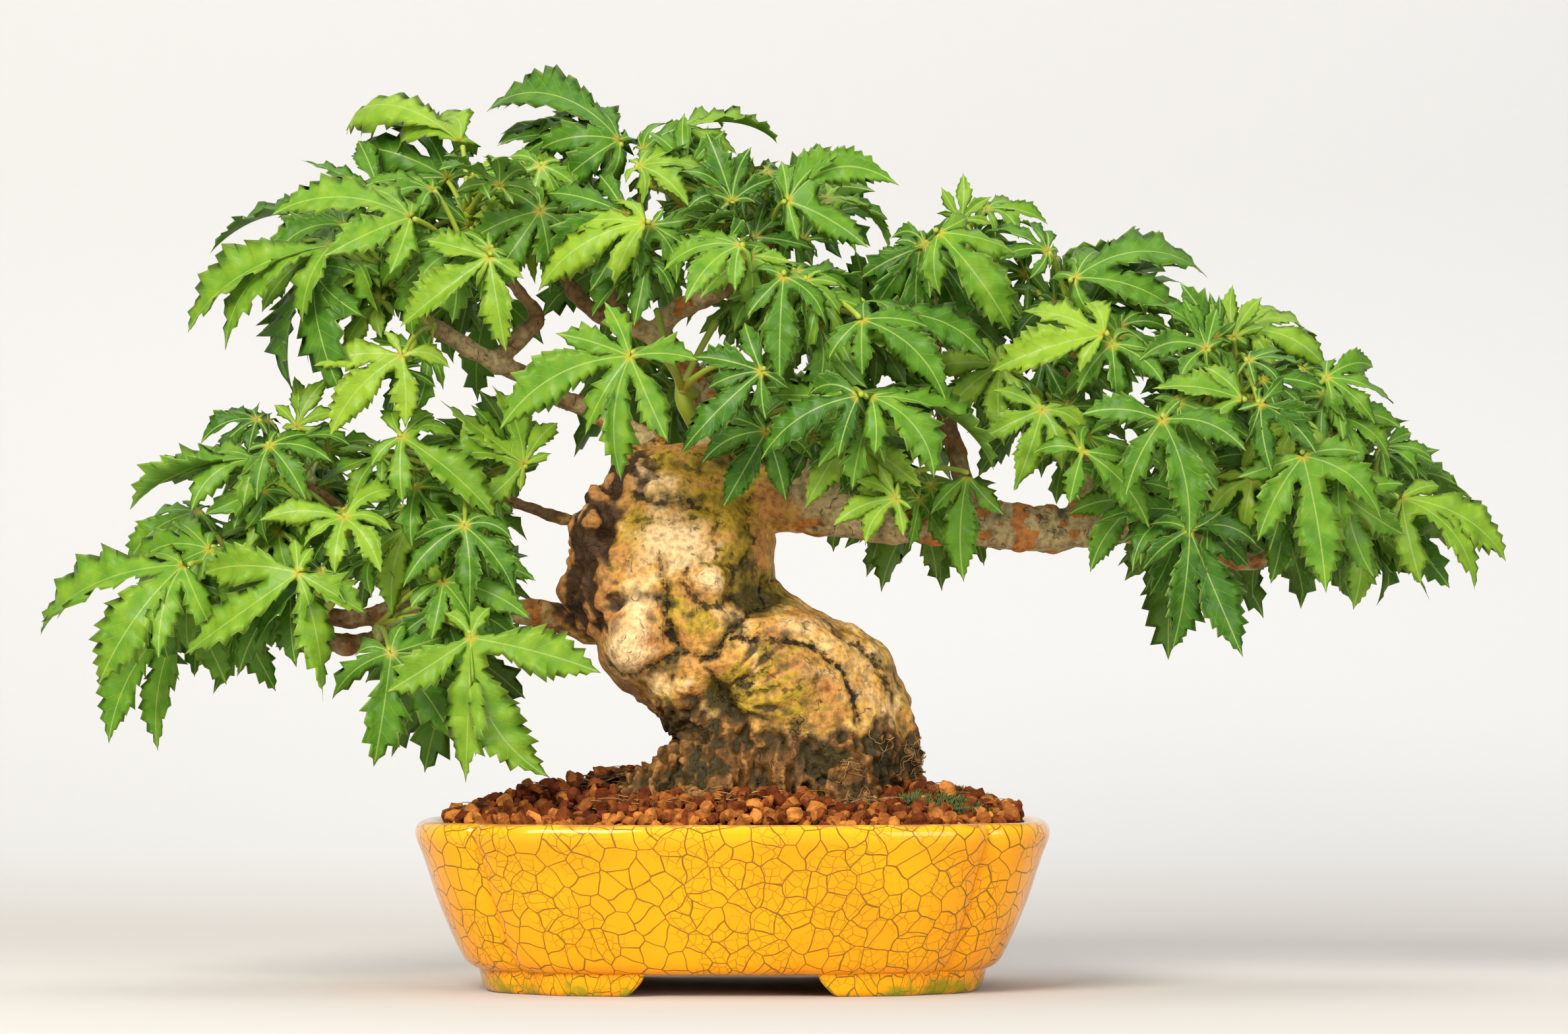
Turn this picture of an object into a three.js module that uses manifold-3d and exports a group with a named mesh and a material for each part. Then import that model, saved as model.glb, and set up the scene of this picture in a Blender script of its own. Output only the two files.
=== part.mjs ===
// A shishigashira Japanese maple grown as a bonsai in a lobed glazed pot.
// Millimetres, +Z up. The tables use the middle of the pot as their zero, a little under its
// feet, with -Y towards the front of the tree. The finished group is moved so that it stands on
// zero and the middle of its footprint is the origin.
import * as THREE from 'three';
import { mergeVertices } from 'three/addons/utils/BufferGeometryUtils.js';
import Module from 'manifold-3d';

const wasm = await Module();
wasm.setup();

// Space left between two pieces that touch
const GAP = 0.3;

// Pot: a long bowl whose plan is four lobes that meet in creased corners
const POT = {
  halfLength: 75,
  halfDepth: 57.5,
  creaseX: 59,
  creaseInset: 14.5,
  stand: 2.4,
  footTop: 7.6,
  floorTop: 13,
  lobeSteps: 9,
  lobeFlatness: 3,
  lobeRoundness: 0.55,
};
// Outside of the bowl: [height, half length], from the foot line to the lip
const POT_OUTSIDE = [
  [7.4, 58.4], [7.8, 60.8], [9.2, 63.2], [12.5, 65], [18, 67.5], [24, 69.9], [31, 72.2],
  [36.5, 74.2], [38.6, 75], [40.4, 74.9], [41.6, 74], [42.1, 73],
];
// Inside of the bowl: [height, half length], from the floor to the lip
const POT_INSIDE = [[13, 57.6], [14.8, 60.2], [24, 65.2], [36, 69.5], [40.6, 70.4], [42.6, 71.6]];
const FOOT = { outer: 58.6, inner: 50.5, flare: 1.2, frontGap: 40, sideGap: 26, joint: 1.8 };
const DRAIN = { x: 26, radius: 6, segments: 20 };
const SCREEN = { side: 19, thickness: 0.8, slots: 3, slot: 3.4, pitch: 5.4 };

// Soil: a mound of clay granules, highest round the root flare
const SOIL = { rim: 41, crown: 8.4, rings: 5, reach: 69, clearance: 0.4 };
const MOUND = { centreX: 4, halfLength: 72, halfDepth: 52, steepness: 0.8, roughness: 0.9 };

// Trunk rings: [height, left edge, right edge, half depth, depth centre]
const TRUNK = [
  [34, -16, 28, 17, 0],
  [44, -25, 38, 22, 0],
  [50, -27, 41, 24.5, 0],
  [55, -19.5, 43.5, 24.5, 0],
  [60, -13, 43.8, 23.5, 0],
  [66, -18, 42.6, 23.5, 0],
  [73, -25.5, 40.4, 24, 0],
  [80, -31, 36.8, 24.5, 0],
  [86, -33, 31, 24, 0],
  [92, -38, 19, 23, 0],
  [98, -40, 11.5, 22.5, 0],
  [104, -38, 9.5, 21.5, 0],
  [109, -35.5, 9.5, 20.5, 0],
  [114, -36, 9, 19, 0.5],
  [120, -31, 6, 16.5, 1],
  [125, -28, 3, 14, 1.5],
  [129, -22.5, -1, 10.5, 2],
  [131.5, -16, -6.5, 5, 2.5],
];
const TRUNK_STEPS = 18;
const TRUNK_SQUARENESS = 2.3;

// Surface roots: [x, y, z, radius], from inside the trunk down into the soil
const ROOTS = {
  left_front: [[-2, -9, 57, 8], [-15, -14, 51, 6.5], [-27, -18, 43.5, 4.5]],
  middle_front: [[-2, -12, 60, 10], [-5, -22, 50, 6.5], [-8, -30, 42.5, 4]],
  right_front: [[22, -12, 60, 10], [27, -22, 50, 7], [33, -29, 42.5, 4.5]],
  left_back: [[-3, 8, 57, 8], [-14, 17, 50, 6.5], [-24, 25, 43, 4.5]],
  middle_back: [[10, 12, 60, 10], [8, 23, 50, 7], [5, 32, 42.5, 4]],
  right_back: [[26, 9, 60, 10], [33, 18, 51, 7], [38, 27, 43, 4.5]],
};

// Healed swellings of the trunk: [x, y, z], [half width, half depth, half height]
const SWELLINGS = {
  closed_knot: [[-5, -20, 98], [7.5, 4, 7.5]],
  pale_bulge: [[-20, -21, 86], [8, 4.5, 7.5]],
  old_cut: [[-33, -6, 108], [5, 11, 13]],
};

// Boughs and twigs: [x, y, z, radius]
const BOUGHS = {
  low_left_bough: [
    [-22, 4, 86, 4.5], [-33, 5, 88, 3.6], [-46, 3, 91, 3], [-60, 0, 92, 2.8], [-72, -2, 92, 2.8],
    [-80, -3, 91.5, 2.5], [-88, -3, 90, 2.1], [-98, -2, 91, 1.8], [-108, 0, 95, 1.5],
    [-118, 1, 101, 1.2],
  ],
  low_left_fork: [
    [-78, -3, 91, 2.2], [-84, -5, 85.5, 2.2], [-91, -6, 83.5, 2.1], [-97, -6, 85.5, 1.9],
    [-100, -6, 88.5, 1.6],
  ],
  low_left_riser: [
    [-70, -1, 92, 1.9], [-76, 2, 102, 1.6], [-86, 3, 110, 1.4], [-96, 2, 118, 1.2],
    [-106, 1, 124, 1],
  ],
  left_shoulder_twig: [
    [-26, 4, 112, 2.4], [-38, 6, 113, 1.8], [-50, 6, 117, 1.5], [-62, 4, 122, 1.2],
  ],
  upper_left_bough: [
    [-14, 2, 126, 4.2], [-24, 3, 134, 2.8], [-33, 4, 139, 2.3], [-42, 4, 143, 2.1],
    [-50, 3, 148, 2.3], [-57, 0, 151, 2.5], [-63, -2, 154.5, 2.5], [-69, -3, 158, 2.3],
    [-75, -3, 162, 2], [-82, -2, 167, 1.5], [-90, -1, 171, 1.1],
  ],
  upper_left_fork: [
    [-56, 0, 152, 2.1], [-50, -1, 157.5, 2.2], [-47, 0, 161, 1.8], [-52, 2, 169, 1.4],
    [-60, 2, 178, 1.2], [-66, 1, 187, 1],
  ],
  crown_leader: [
    [-8, 3, 124, 6], [-6, 5, 136, 4.2], [-10, 6, 147, 3.4], [-18, 5, 157, 2.8], [-27, 5, 161, 2.3],
    [-34, 6, 164, 1.9], [-40, 7, 171, 1.7], [-44, 6, 181, 1.2], [-44, 4, 190, 1],
  ],
  crown_fork: [
    [-19, 5, 158, 2.6], [-13, 2, 163.5, 2.8], [-6, 1, 166.5, 2.4], [2, 1, 171, 1.7],
    [8, 1, 178, 1.3], [12, 0, 184, 1],
  ],
  crown_spur: [
    [-25, 5, 160, 2], [-29, 4, 166, 1.5], [-28.5, 3, 176, 1.3], [-24, 3, 186, 1.1],
    [-20, 2, 194, 0.9],
  ],
  right_bough: [
    [-4, -1, 117, 10], [6, -3, 118.5, 7.8], [14, -5, 117.5, 6.8], [24, -7, 115.5, 6.2],
    [35, -8, 113.5, 5.4], [48, -8, 112.3, 4.8], [60, -6, 112.2, 4.9], [72, -4, 111.6, 5],
    [82, -2, 111.2, 4.8], [92, 0, 111.4, 3.9], [104, 2, 109, 3], [116, 2, 105.5, 2.5],
    [125, 0, 103.5, 2.3], [131, -1, 106, 2], [137, -1, 111, 1.7], [146, -1, 115, 1.4],
    [154, -1, 118, 1],
  ],
  right_stub: [
    [20, -8, 118, 4.2], [21, -9, 125, 4], [22, -9, 130.5, 3.6],
  ],
  right_riser_near: [
    [38, -6, 115, 2.9], [36, -2, 124, 2.4], [30, 1, 134, 2], [26, 2, 144, 1.7], [24, 1, 154, 1.4],
    [22, 0, 164, 1.1],
  ],
  right_riser_mid: [
    [56, -5, 114, 2.8], [54, 0, 126, 2.3], [50, 2, 140, 1.9], [48, 2, 154, 1.6], [50, 1, 166, 1.3],
    [54, 0, 175, 1],
  ],
  right_riser_far: [
    [81, -2, 113, 3], [84, 0, 121, 2.6], [83, 2, 132, 2.1], [80, 2, 144, 1.7], [82, 1, 156, 1.3],
    [86, 0, 165, 1],
  ],
  right_tip_riser: [
    [98, 1, 110.5, 2.4], [106, 3, 120, 2], [112, 3, 132, 1.6], [116, 2, 143, 1.3], [120, 1, 151, 1],
  ],
  right_end_twig: [
    [133, -1, 108, 1.6], [138, 2, 120, 1.4], [142, 2, 130, 1.2], [141, 1, 139, 1],
  ],};

// Leaves of one shoot: [x, y, z, point, toward, face, length, droop, lobes]
// x, y, z is the heart, where the stalk meets the blade. point is the heading of the middle lobe
// seen from the front, 0 to the right and 90 up, and toward is its lean to the front. face is how
// far the upper side looks up, 0 to the front and 90 to the sky. droop is how far each lobe curls
// down along its length. All of these are degrees. A lobe is [angle from the middle, length ratio].
const USUAL_LOBES = [[-84, 0.66], [-42, 0.9], [0, 1], [42, 0.9], [84, 0.66]];
const SHOOTS = {
  low_left_1: { tip: [-118, -10, 100], leaves: [
    [-128, -26, 102, 190, 8, 45, 46, 62, [[-14, 1], [34, 0.78], [64, 0.5], [-56, 0.4], [104, 0.42]]],
    [-129, -10, 92, 236, 5, 40, 38, 36, [[-4, 1], [17, 0.92], [60, 0.55], [-52, 0.5]]],
    [-127, -6, 115, 195, 5, 55, 26, 60],
    [-121, -4, 93, 290, 0, 35, 20, 30],
  ] },
  low_left_2: { tip: [-94, -18, 94], leaves: [
    [-100, -40, 100, 232, 12, 32, 35, 38,
      [[-26, 1], [-64, 0.8], [47, 0.88], [98, 0.55], [-132, 0.3], [-165, 0.25]]],
    [-107, -12, 110, 205, 12, 45, 24, 45],
  ] },
  low_left_3: { tip: [-83, -16, 88], leaves: [
    [-60, -42, 85, 278, 8, 8, 38, 20,
      [[-66, 0.62], [-10, 0.88], [22, 1], [68, 0.82], [140, 0.25], [-140, 0.25]]],
    [-67, -34, 98, 345, 18, 35, 25, 32,
      [[0, 0.9], [38, 0.95], [-40, 0.9], [-80, 0.6], [95, 0.35], [-120, 0.4]]],
  ] },
  low_left_4: { tip: [-91, -10, 108], leaves: [
    [-90, -32, 113, 262, 35, 28, 20, 22,
      [[0, 0.75], [40, 0.85], [-85, 1], [130, 0.9], [85, 0.6], [-45, 0.6]]],
    [-76, -20, 111, 300, 18, 35, 24, 35],
    [-103, -12, 121, 190, 12, 45, 22, 45],
  ] },
  low_left_5: { tip: [-104, -6, 121], leaves: [
    [-112, -20, 127, 180, 8, 50, 33, 62, [[0, 1], [30, 0.6], [-35, 0.6], [75, 0.4]]],
    [-108, -26, 130, 310, 22, 38, 18, 30],
    [-113, -4, 137, 182, 5, 55, 17, 42],
    [-103, -10, 135, 60, 8, 35, 15, 20],
  ] },
  low_left_6: { tip: [-63, -10, 120], leaves: [
    [-77, -26, 132, 325, 15, 30, 30, 35,
      [[0, 1], [45, 0.5], [88, 0.4], [140, 0.4], [-50, 0.55], [-100, 0.35]]],
    [-49, -16, 126, 140, 5, 30, 26, 18],
    [-83, -12, 128, 190, 8, 50, 18, 40],
    [-62, -24, 111, 270, 25, 20, 22, 30],
  ] },
  upper_left_1: { tip: [-81, -8, 170], leaves: [
    [-94, -20, 177, 182, 5, 50, 43, 78, [[0, 1], [24, 0.86], [62, 0.5], [-38, 0.42], [-80, 0.3]]],
    [-92, -8, 183, 168, 0, 60, 36, 45, [[0, 1], [38, 0.6], [-38, 0.65], [-80, 0.4]]],
    [-83, -10, 165, 190, 5, 40, 19, 35],
    [-100, -4, 176, 215, 0, 45, 18, 40],
  ] },
  upper_left_2: { tip: [-72, -8, 158], leaves: [
    [-77, -24, 151, 226, 8, 15, 26, 18, [[-42, 0.82], [0, 1], [46, 0.66], [120, 0.45], [-100, 0.3]]],
    [-85, 0, 171, 168, 0, 50, 16, 25],
  ] },
  upper_left_3: { tip: [-63, -12, 172], leaves: [
    [-56, -38, 173, 243, 12, 22, 27, 28, [[-30, 1], [36, 0.85], [-85, 0.65], [85, 0.35], [0, 0.3]]],
    [-75, -28, 183, 160, 10, 50, 34, 48, [[0, 1], [42, 0.7], [88, 0.5], [-45, 0.6], [-90, 0.4]]],
    [-71, -10, 191, 165, 5, 60, 18, 35],
  ] },
  upper_left_4: { tip: [-62, -6, 186], leaves: [
    [-65, -4, 203, 128, 0, 55, 43, 114, [[0, 1], [35, 0.5], [-42, 0.55], [-90, 0.35]]],
    [-54, -32, 190, 92, 40, 60, 20, 60],
    [-84, 2, 191, 140, 0, 50, 20, 30],
  ] },
  crown_1: { tip: [-40, -8, 190], leaves: [
    [-27, -8, 203, 131, 0, 55, 42, 94,
      [[0, 1], [-36, 0.6], [38, 0.5], [82, 0.5], [-95, 0.3], [120, 0.35]]],
    [-36, 5, 204, 165, 0, 60, 20, 45],
    [-45, -18, 196, 250, 12, 40, 16, 25],
  ] },
  crown_2: { tip: [-28, -12, 175], leaves: [
    [-20, -36, 181, 200, 12, 30, 31, 48, [[0, 1], [-35, 0.7], [40, 0.55], [-75, 0.45]]],
    [-19, -34, 181, 292, 12, 28, 18, 18],
    [-33, -26, 187, 195, 15, 95, 22, 105],
  ] },
  crown_3: { tip: [-16, -4, 192], leaves: [
    [-13, -4, 206, 30, 0, 60, 28, 80, [[0, 1], [38, 0.6], [-38, 0.6], [95, 0.35], [-90, 0.35]]],
    [0, -24, 187, 112, 0, 22, 19, 12],
    [-22, -16, 196, 5, 12, 50, 20, 35],
  ] },
  crown_4: { tip: [-6, -12, 172], leaves: [
    [2, -38, 175, 178, 12, 50, 21, 62],
    [4, -40, 173, 268, 12, 22, 17, 18],
    [2, -30, 182, 150, 10, 90, 19, 60],
  ] },
  crown_5: { tip: [8, -10, 180], leaves: [
    [13, -26, 187, 10, 3, 22, 26, 20, [[0, 1], [36, 0.75], [-38, 0.85], [90, 0.4], [-85, 0.4]]],
    [22, -10, 189, 345, 0, 50, 20, 60],
    [8, -14, 195, 330, 8, 55, 16, 50],
  ] },
  crown_6: { tip: [12, -14, 164], leaves: [
    [12, -45, 168, 268, 10, 15, 25, 16, [[0, 1], [-40, 0.5], [42, 0.6], [-90, 0.35]]],
    [15, -38, 170, 350, 8, 55, 23, 75],
    [30, -46, 158, 318, 8, 22, 27, 25, [[0, 1], [-45, 0.5], [-88, 0.45], [42, 0.6]]],
    [32, -40, 159, 8, 8, 55, 33, 65, [[0, 1], [-36, 0.65], [36, 0.5]]],
  ] },
  crown_7: { tip: [-12, -14, 144], leaves: [
    [-23, -56, 149, 240, 8, 6, 35, 18,
      [[-32, 1], [0, 0.6], [26, 0.82], [54, 0.62], [118, 0.46], [-126, 0.42], [-78, 0.5]]],
    [7, -48, 146, 225, 8, 8, 27, 18,
      [[0, 1], [-60, 0.62], [-118, 0.5], [50, 0.42], [105, 0.3], [-30, 0.5]]],
  ] },
  right_1: { tip: [26, -16, 138], leaves: [
    [29, -54, 140, 205, 8, 25, 28, 40, [[0, 1], [44, 0.55], [-42, 0.5]]],
    [32, -50, 140, 356, 8, 45, 37, 72, [[0, 1], [-34, 0.7], [36, 0.4], [-80, 0.4]]],
    [8, -32, 133, 240, 12, 22, 22, 28],
  ] },
  right_2: { tip: [38, -16, 124], leaves: [
    [28, -38, 132, 283, 10, 12, 23, 16],
    [38, -40, 117, 200, 6, 8, 15, 8],
    [55, -24, 123, 268, 5, 22, 25, 14, [[0, 1], [-42, 0.5], [45, 0.5]]],
  ] },
  right_3: { tip: [48, -8, 168], leaves: [
    [45, -26, 177, 228, 14, 38, 18, 36],
    [48, -34, 179, 318, 12, 30, 31, 48, [[0, 1], [42, 0.7], [-42, 0.5], [88, 0.4]]],
    [54, -8, 184, 82, 5, 40, 12, 15],
    [60, -4, 187, 5, 0, 55, 15, 50],
  ] },
  right_4: { tip: [80, -8, 160], leaves: [
    [80, -26, 169, 22, 0, 38, 38, 62,
      [[0, 1], [-30, 0.78], [50, 0.45], [92, 0.36], [-85, 0.28], [135, 0.28]]],
    [74, -16, 176, 150, 5, 45, 16, 35],
    [86, -38, 155, 190, 8, 28, 28, 36, [[0, 1], [-40, 0.8], [45, 0.4], [-85, 0.5]]],
    [88, -36, 153, 275, 12, 18, 18, 16],
  ] },
  right_5: { tip: [75, -12, 134], leaves: [
    [72, -32, 138, 245, 10, 28, 20, 20],
    [81, -38, 128, 318, 10, 28, 24, 45, [[0, 1], [-60, 0.55], [-140, 0.5], [45, 0.5], [120, 0.4]]],
    [63, -26, 149, 215, 16, 32, 22, 32],
  ] },
  right_6: { tip: [109, -12, 140], leaves: [
    [110, -32, 152, 150, 5, 25, 18, 12],
    [99, -46, 135, 268, 8, 6, 28, 16, [[-93, 0.68], [-24, 0.7], [14, 1], [72, 0.74], [140, 0.25]]],
    [118, -36, 140, 172, 6, 25, 21, 14, [[0, 1], [-40, 0.6], [45, 0.5]]],
  ] },
  right_7: { tip: [119, -8, 148], leaves: [
    [118, -14, 156, 95, 0, 35, 13, 15],
    [121, -16, 158, 25, 0, 50, 25, 75],
    [123, -32, 145, 10, 5, 45, 18, 50],
    [122, -38, 139, 325, 10, 22, 18, 30],
  ] },
  right_8: { tip: [107, -14, 112], leaves: [
    [106, -36, 110, 278, 5, 8, 32, 10,
      [[-16, 0.88], [15, 1], [-58, 0.45], [70, 0.5], [-105, 0.3], [115, 0.3]]],
    [121, -34, 122, 264, 6, 15, 16, 10],
    [96, -22, 117, 228, 8, 28, 20, 28],
  ] },
  right_9: { tip: [137, -10, 118], leaves: [
    [132, -38, 127, 280, 6, 18, 32, 16, [[0, 1], [-38, 0.7], [-82, 0.5], [42, 0.75], [85, 0.45]]],
    [143, -28, 118, 292, 5, 28, 23, 26],
    [129, -22, 115, 255, 6, 28, 20, 22],
  ] },
  right_10: { tip: [151, -8, 119], leaves: [
    [157, -20, 118, 342, 3, 32, 32, 42, [[0, 1], [-28, 0.88], [-56, 0.68], [48, 0.4], [-95, 0.35]]],
    [148, -14, 112, 305, 0, 28, 24, 22],
    [153, -12, 130, 5, 5, 42, 14, 40],
  ] },
  right_11: { tip: [140, -8, 136], leaves: [
    [139, -22, 146, 0, 0, 38, 20, 55],
    [141, -26, 137, 330, 8, 32, 20, 42],
    [132, -30, 135, 215, 12, 28, 18, 30],
  ] },
};
// A shoot with this many leaves this far in front of the middle has a likeness behind it
const FAR_SIDE = { from: 14, leaves: 2, stemFrom: 8, deeper: 3, shift: [4, 3, 3], turn: 14 };

// Half thicknesses at the heart and on the midribs, then shares of the length. A notch between two
// lobes lies nearer to the heart the wider apart the lobes are.
const LEAF = { heart: 0.6, midrib: 0.5, midribAt: 0.5, base: 0.1, plainBelow: 0.7 };
const NOTCH = { share: 0.84, perDegree: 0.0085, least: 0.2, most: 0.66 };
const STALK = { thick: 0.95, thin: 0.6, sides: 3, arch: 0.07, straightBelow: 34, point: 2, foot: 0.03 };
const SHOOT_STEM = { thick: 1.6, thin: 1.5, sides: 4, straightBelow: 100, point: 0.8 };
// Pairs of stalks leave the shoot at this spacing, the first pair this far from its end
const STALK_PAIRS = { first: 1.2, spacing: 2.6, within: 0.7 };
// A leaf that would touch one before it moves this far back or forward, nearest place first
const DEPTH_STEPS = [0, -2.5, 2.5, -5, 5, -7.5, 7.5, -10, 10, -13, 13];

// Stalks left where two leaves were cut off: [x, y, z, radius]
const CUT_STALKS = {
  bud: [[-9.4, 1.6, 136, 1.6], [-12, -3.5, 143, 1.9], [-12.4, -4, 146, 1.3]],
  left: [[-12.2, -3.9, 145, 0.9], [-15.5, -6, 154, 0.85], [-18, -7.5, 163, 0.9]],
  right: [[-12.1, -4.1, 144.5, 0.9], [-8.5, -7, 152, 0.85], [-4, -9, 160, 0.9]],
};

// Moss cushions on the soil: [x, y], [half width, half depth], height
const MOSS = {
  moss_front_right: [[50, -24], [11, 8], 2.6],
  moss_right: [[55, 6], [8, 13], 2.2],
  moss_back_left: [[-38, 26], [14, 7], 2.4],
};

const MOSS_SHAPE = { steps: 10, sunk: 1, base: 0.9, edge: 0.4, crown: 0.65, crownHeight: 0.85 };

const COLOURS = {
  glaze: 0xb8862f,
  screen: 0x23272b,
  soil: 0x8f4f2a,
  moss: 0x6e7f2e,
  bark: 0x9a7650,
  cutStalk: 0xb9b545,
  leafFront: 0x5d8c2c,
  leafFar: 0x4b7a26,
};

// How far the end of a limb stands out, as a share of its radius
const BLUNT_END = 0.5;
const degrees = THREE.MathUtils.degToRad;

// A closed body from points and three-cornered faces. Points that coincide become one.
function bodyFrom(points, faces) {
  const geometry = new THREE.BufferGeometry();
  const numbers = points.flatMap((p) => p.toArray());
  geometry.setAttribute('position', new THREE.Float32BufferAttribute(numbers, 3));
  geometry.setIndex(faces.flat());
  const merged = mergeVertices(geometry, 1e-4);
  const kept = [];
  const index = merged.index.array;
  for (let i = 0; i < index.length; i += 3) {
    const [a, b, c] = index.slice(i, i + 3);
    if (a !== b && b !== c && c !== a) kept.push(a, b, c);
  }
  return new wasm.Manifold(new wasm.Mesh({
    numProp: 3,
    vertProperties: new Float32Array(merged.attributes.position.array),
    triVerts: new Uint32Array(kept),
  }));
}

// A ready-made closed geometry as a body
function bodyFromGeometry(geometry) {
  const position = geometry.attributes.position;
  const corner = (i) => new THREE.Vector3().fromBufferAttribute(position, i);
  const points = Array.from({ length: position.count }, (_, i) => corner(i));
  const index = geometry.index ? Array.from(geometry.index.array) : points.map((_, i) => i);
  const faces = [];
  for (let i = 0; i < index.length; i += 3) faces.push(index.slice(i, i + 3));
  return bodyFrom(points, faces);
}

function geometryFrom(body) {
  const mesh = body.getMesh();
  const geometry = new THREE.BufferGeometry();
  const position = new Float32Array(mesh.numVert * 3);
  for (let i = 0; i < mesh.numVert; i += 1) {
    for (let k = 0; k < 3; k += 1) position[i * 3 + k] = mesh.vertProperties[i * mesh.numProp + k];
  }
  geometry.setAttribute('position', new THREE.BufferAttribute(position, 3));
  geometry.setIndex(Array.from(mesh.triVerts));
  geometry.computeVertexNormals();
  return geometry;
}

function joined(bodies) {
  return wasm.Manifold.union(bodies);
}

// The largest connected part of a body
function largest(body) {
  const parts = body.decompose();
  return parts.reduce((best, part) => (part.volume() > best.volume() ? part : best));
}

// Rings of equal count, each counter-clockwise seen from the far end, closed by a fan at both ends
function loft(rings, startTip, endTip) {
  const count = rings[0].length;
  const centre = (ring) => ring.reduce((sum, p) => sum.add(p), new THREE.Vector3()).divideScalar(count);
  const points = [startTip ?? centre(rings[0]), ...rings.flat(), endTip ?? centre(rings.at(-1))];
  const last = points.length - 1;
  const faces = [];
  for (let j = 0; j < count; j += 1) {
    const next = (j + 1) % count;
    faces.push([0, 1 + next, 1 + j]);
    for (let i = 0; i < rings.length - 1; i += 1) {
      const low = 1 + i * count;
      const high = low + count;
      faces.push([low + j, low + next, high + next], [low + j, high + next, high + j]);
    }
    const top = 1 + (rings.length - 1) * count;
    faces.push([top + j, top + next, last]);
  }
  return bodyFrom(points, faces);
}

// A round limb through stations [x, y, z, radius], with blunt ends unless the tip is given
function limb(stations, sides, grow = 0, tip = null) {
  const path = stations.map(([x, y, z]) => new THREE.Vector3(x, y, z));
  const along = path.map((_, i) => {
    const before = path[Math.max(i - 1, 0)];
    const after = path[Math.min(i + 1, path.length - 1)];
    return after.clone().sub(before).normalize();
  });
  const sideways = new THREE.Vector3(0, 1, 0);
  const rings = path.map((point, i) => {
    const u = sideways.clone().projectOnPlane(along[i]).normalize();
    const v = along[i].clone().cross(u);
    const radius = stations[i][3] + grow;
    return Array.from({ length: sides }, (_, j) => {
      const angle = (2 * Math.PI * j) / sides;
      const across = u.clone().multiplyScalar(radius * Math.cos(angle));
      return across.addScaledVector(v, radius * Math.sin(angle)).add(point);
    });
  });
  const blunt = (i) => BLUNT_END * stations.at(i)[3] + grow;
  const startTip = path[0].clone().addScaledVector(along[0], -blunt(0));
  const endTip = tip ?? path.at(-1).clone().addScaledVector(along.at(-1), blunt(-1));
  return loft(rings, startTip, endTip);
}

// Plan of the pot at a given half length: four swelling lobes with creases between them
function potOutline(halfLength, z) {
  const scale = halfLength / POT.halfLength;
  const creaseY = POT.halfDepth - POT.creaseInset;
  const lobe = (reach, half, swell) => Array.from({ length: POT.lobeSteps }, (_, i) => {
    const t = Math.sin((Math.PI / 2) * (-1 + (2 * i) / POT.lobeSteps));
    return [half * t, reach + swell * (1 - Math.abs(t) ** POT.lobeFlatness) ** POT.lobeRoundness];
  });
  const side = lobe(POT.creaseX, creaseY, POT.halfLength - POT.creaseX);
  const front = lobe(creaseY, POT.creaseX, POT.creaseInset);
  const plan = [
    ...side.map(([t, reach]) => [reach, t]),
    ...front.map(([t, reach]) => [-t, reach]),
    ...side.map(([t, reach]) => [-reach, -t]),
    ...front.map(([t, reach]) => [t, -reach]),
  ];
  return plan.map(([x, y]) => new THREE.Vector3(x * scale, y * scale, z));
}

function potLoft(profile) {
  return loft(profile.map(([z, halfLength]) => potOutline(halfLength, z)));
}

function block(width, depth, height, x, y, z) {
  return bodyFromGeometry(new THREE.BoxGeometry(width, depth, height).translate(x, y, z));
}

function pot() {
  const footHeight = POT.footTop - POT.stand;
  const joint = POT.footTop + FOOT.joint;
  const feet = potLoft([[POT.stand, FOOT.outer], [joint, FOOT.outer + FOOT.flare]])
    .subtract(potLoft([[POT.stand - FOOT.joint, FOOT.inner], [joint - FOOT.joint / 2, FOOT.inner]]))
    .subtract(block(FOOT.frontGap, 3 * POT.halfDepth, 2 * footHeight, 0, 0, POT.stand))
    .subtract(block(3 * POT.halfLength, FOOT.sideGap, 2 * footHeight, 0, 0, POT.stand));
  const drains = [-DRAIN.x, DRAIN.x].map((x) => bodyFromGeometry(
    new THREE.CylinderGeometry(DRAIN.radius, DRAIN.radius, 2 * POT.floorTop, DRAIN.segments)
      .rotateX(Math.PI / 2)
      .translate(x, 0, POT.footTop),
  ));
  return joined([potLoft(POT_OUTSIDE), feet])
    .subtract(potLoft(POT_INSIDE))
    .subtract(joined(drains));
}

// A square of mesh over a drain hole
function drainScreen(x) {
  const z = POT.floorTop + GAP + SCREEN.thickness / 2;
  const sheet = block(SCREEN.side, SCREEN.side, SCREEN.thickness, x, 0, z);
  const slots = [];
  const first = (-(SCREEN.slots - 1) * SCREEN.pitch) / 2;
  for (let i = 0; i < SCREEN.slots; i += 1) {
    for (let j = 0; j < SCREEN.slots; j += 1) {
      const [slotX, slotY] = [x + first + i * SCREEN.pitch, first + j * SCREEN.pitch];
      slots.push(block(SCREEN.slot, SCREEN.slot, 2 * SCREEN.thickness, slotX, slotY, z));
    }
  }
  return sheet.subtract(joined(slots));
}

// Height of the soil's surface, with the unevenness of granules
function soilHeight(x, y) {
  const out = Math.hypot((x - MOUND.centreX) / MOUND.halfLength, y / MOUND.halfDepth);
  const nearness = Math.max(0, 1 - out ** 2);
  const bumps = Math.sin(0.41 * x + 1.3) * Math.cos(0.37 * y) + 0.6 * Math.sin(0.23 * x - 0.61 * y);
  return SOIL.rim + SOIL.crown * nearness ** MOUND.steepness + MOUND.roughness * bumps * Math.sqrt(nearness);
}

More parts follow.
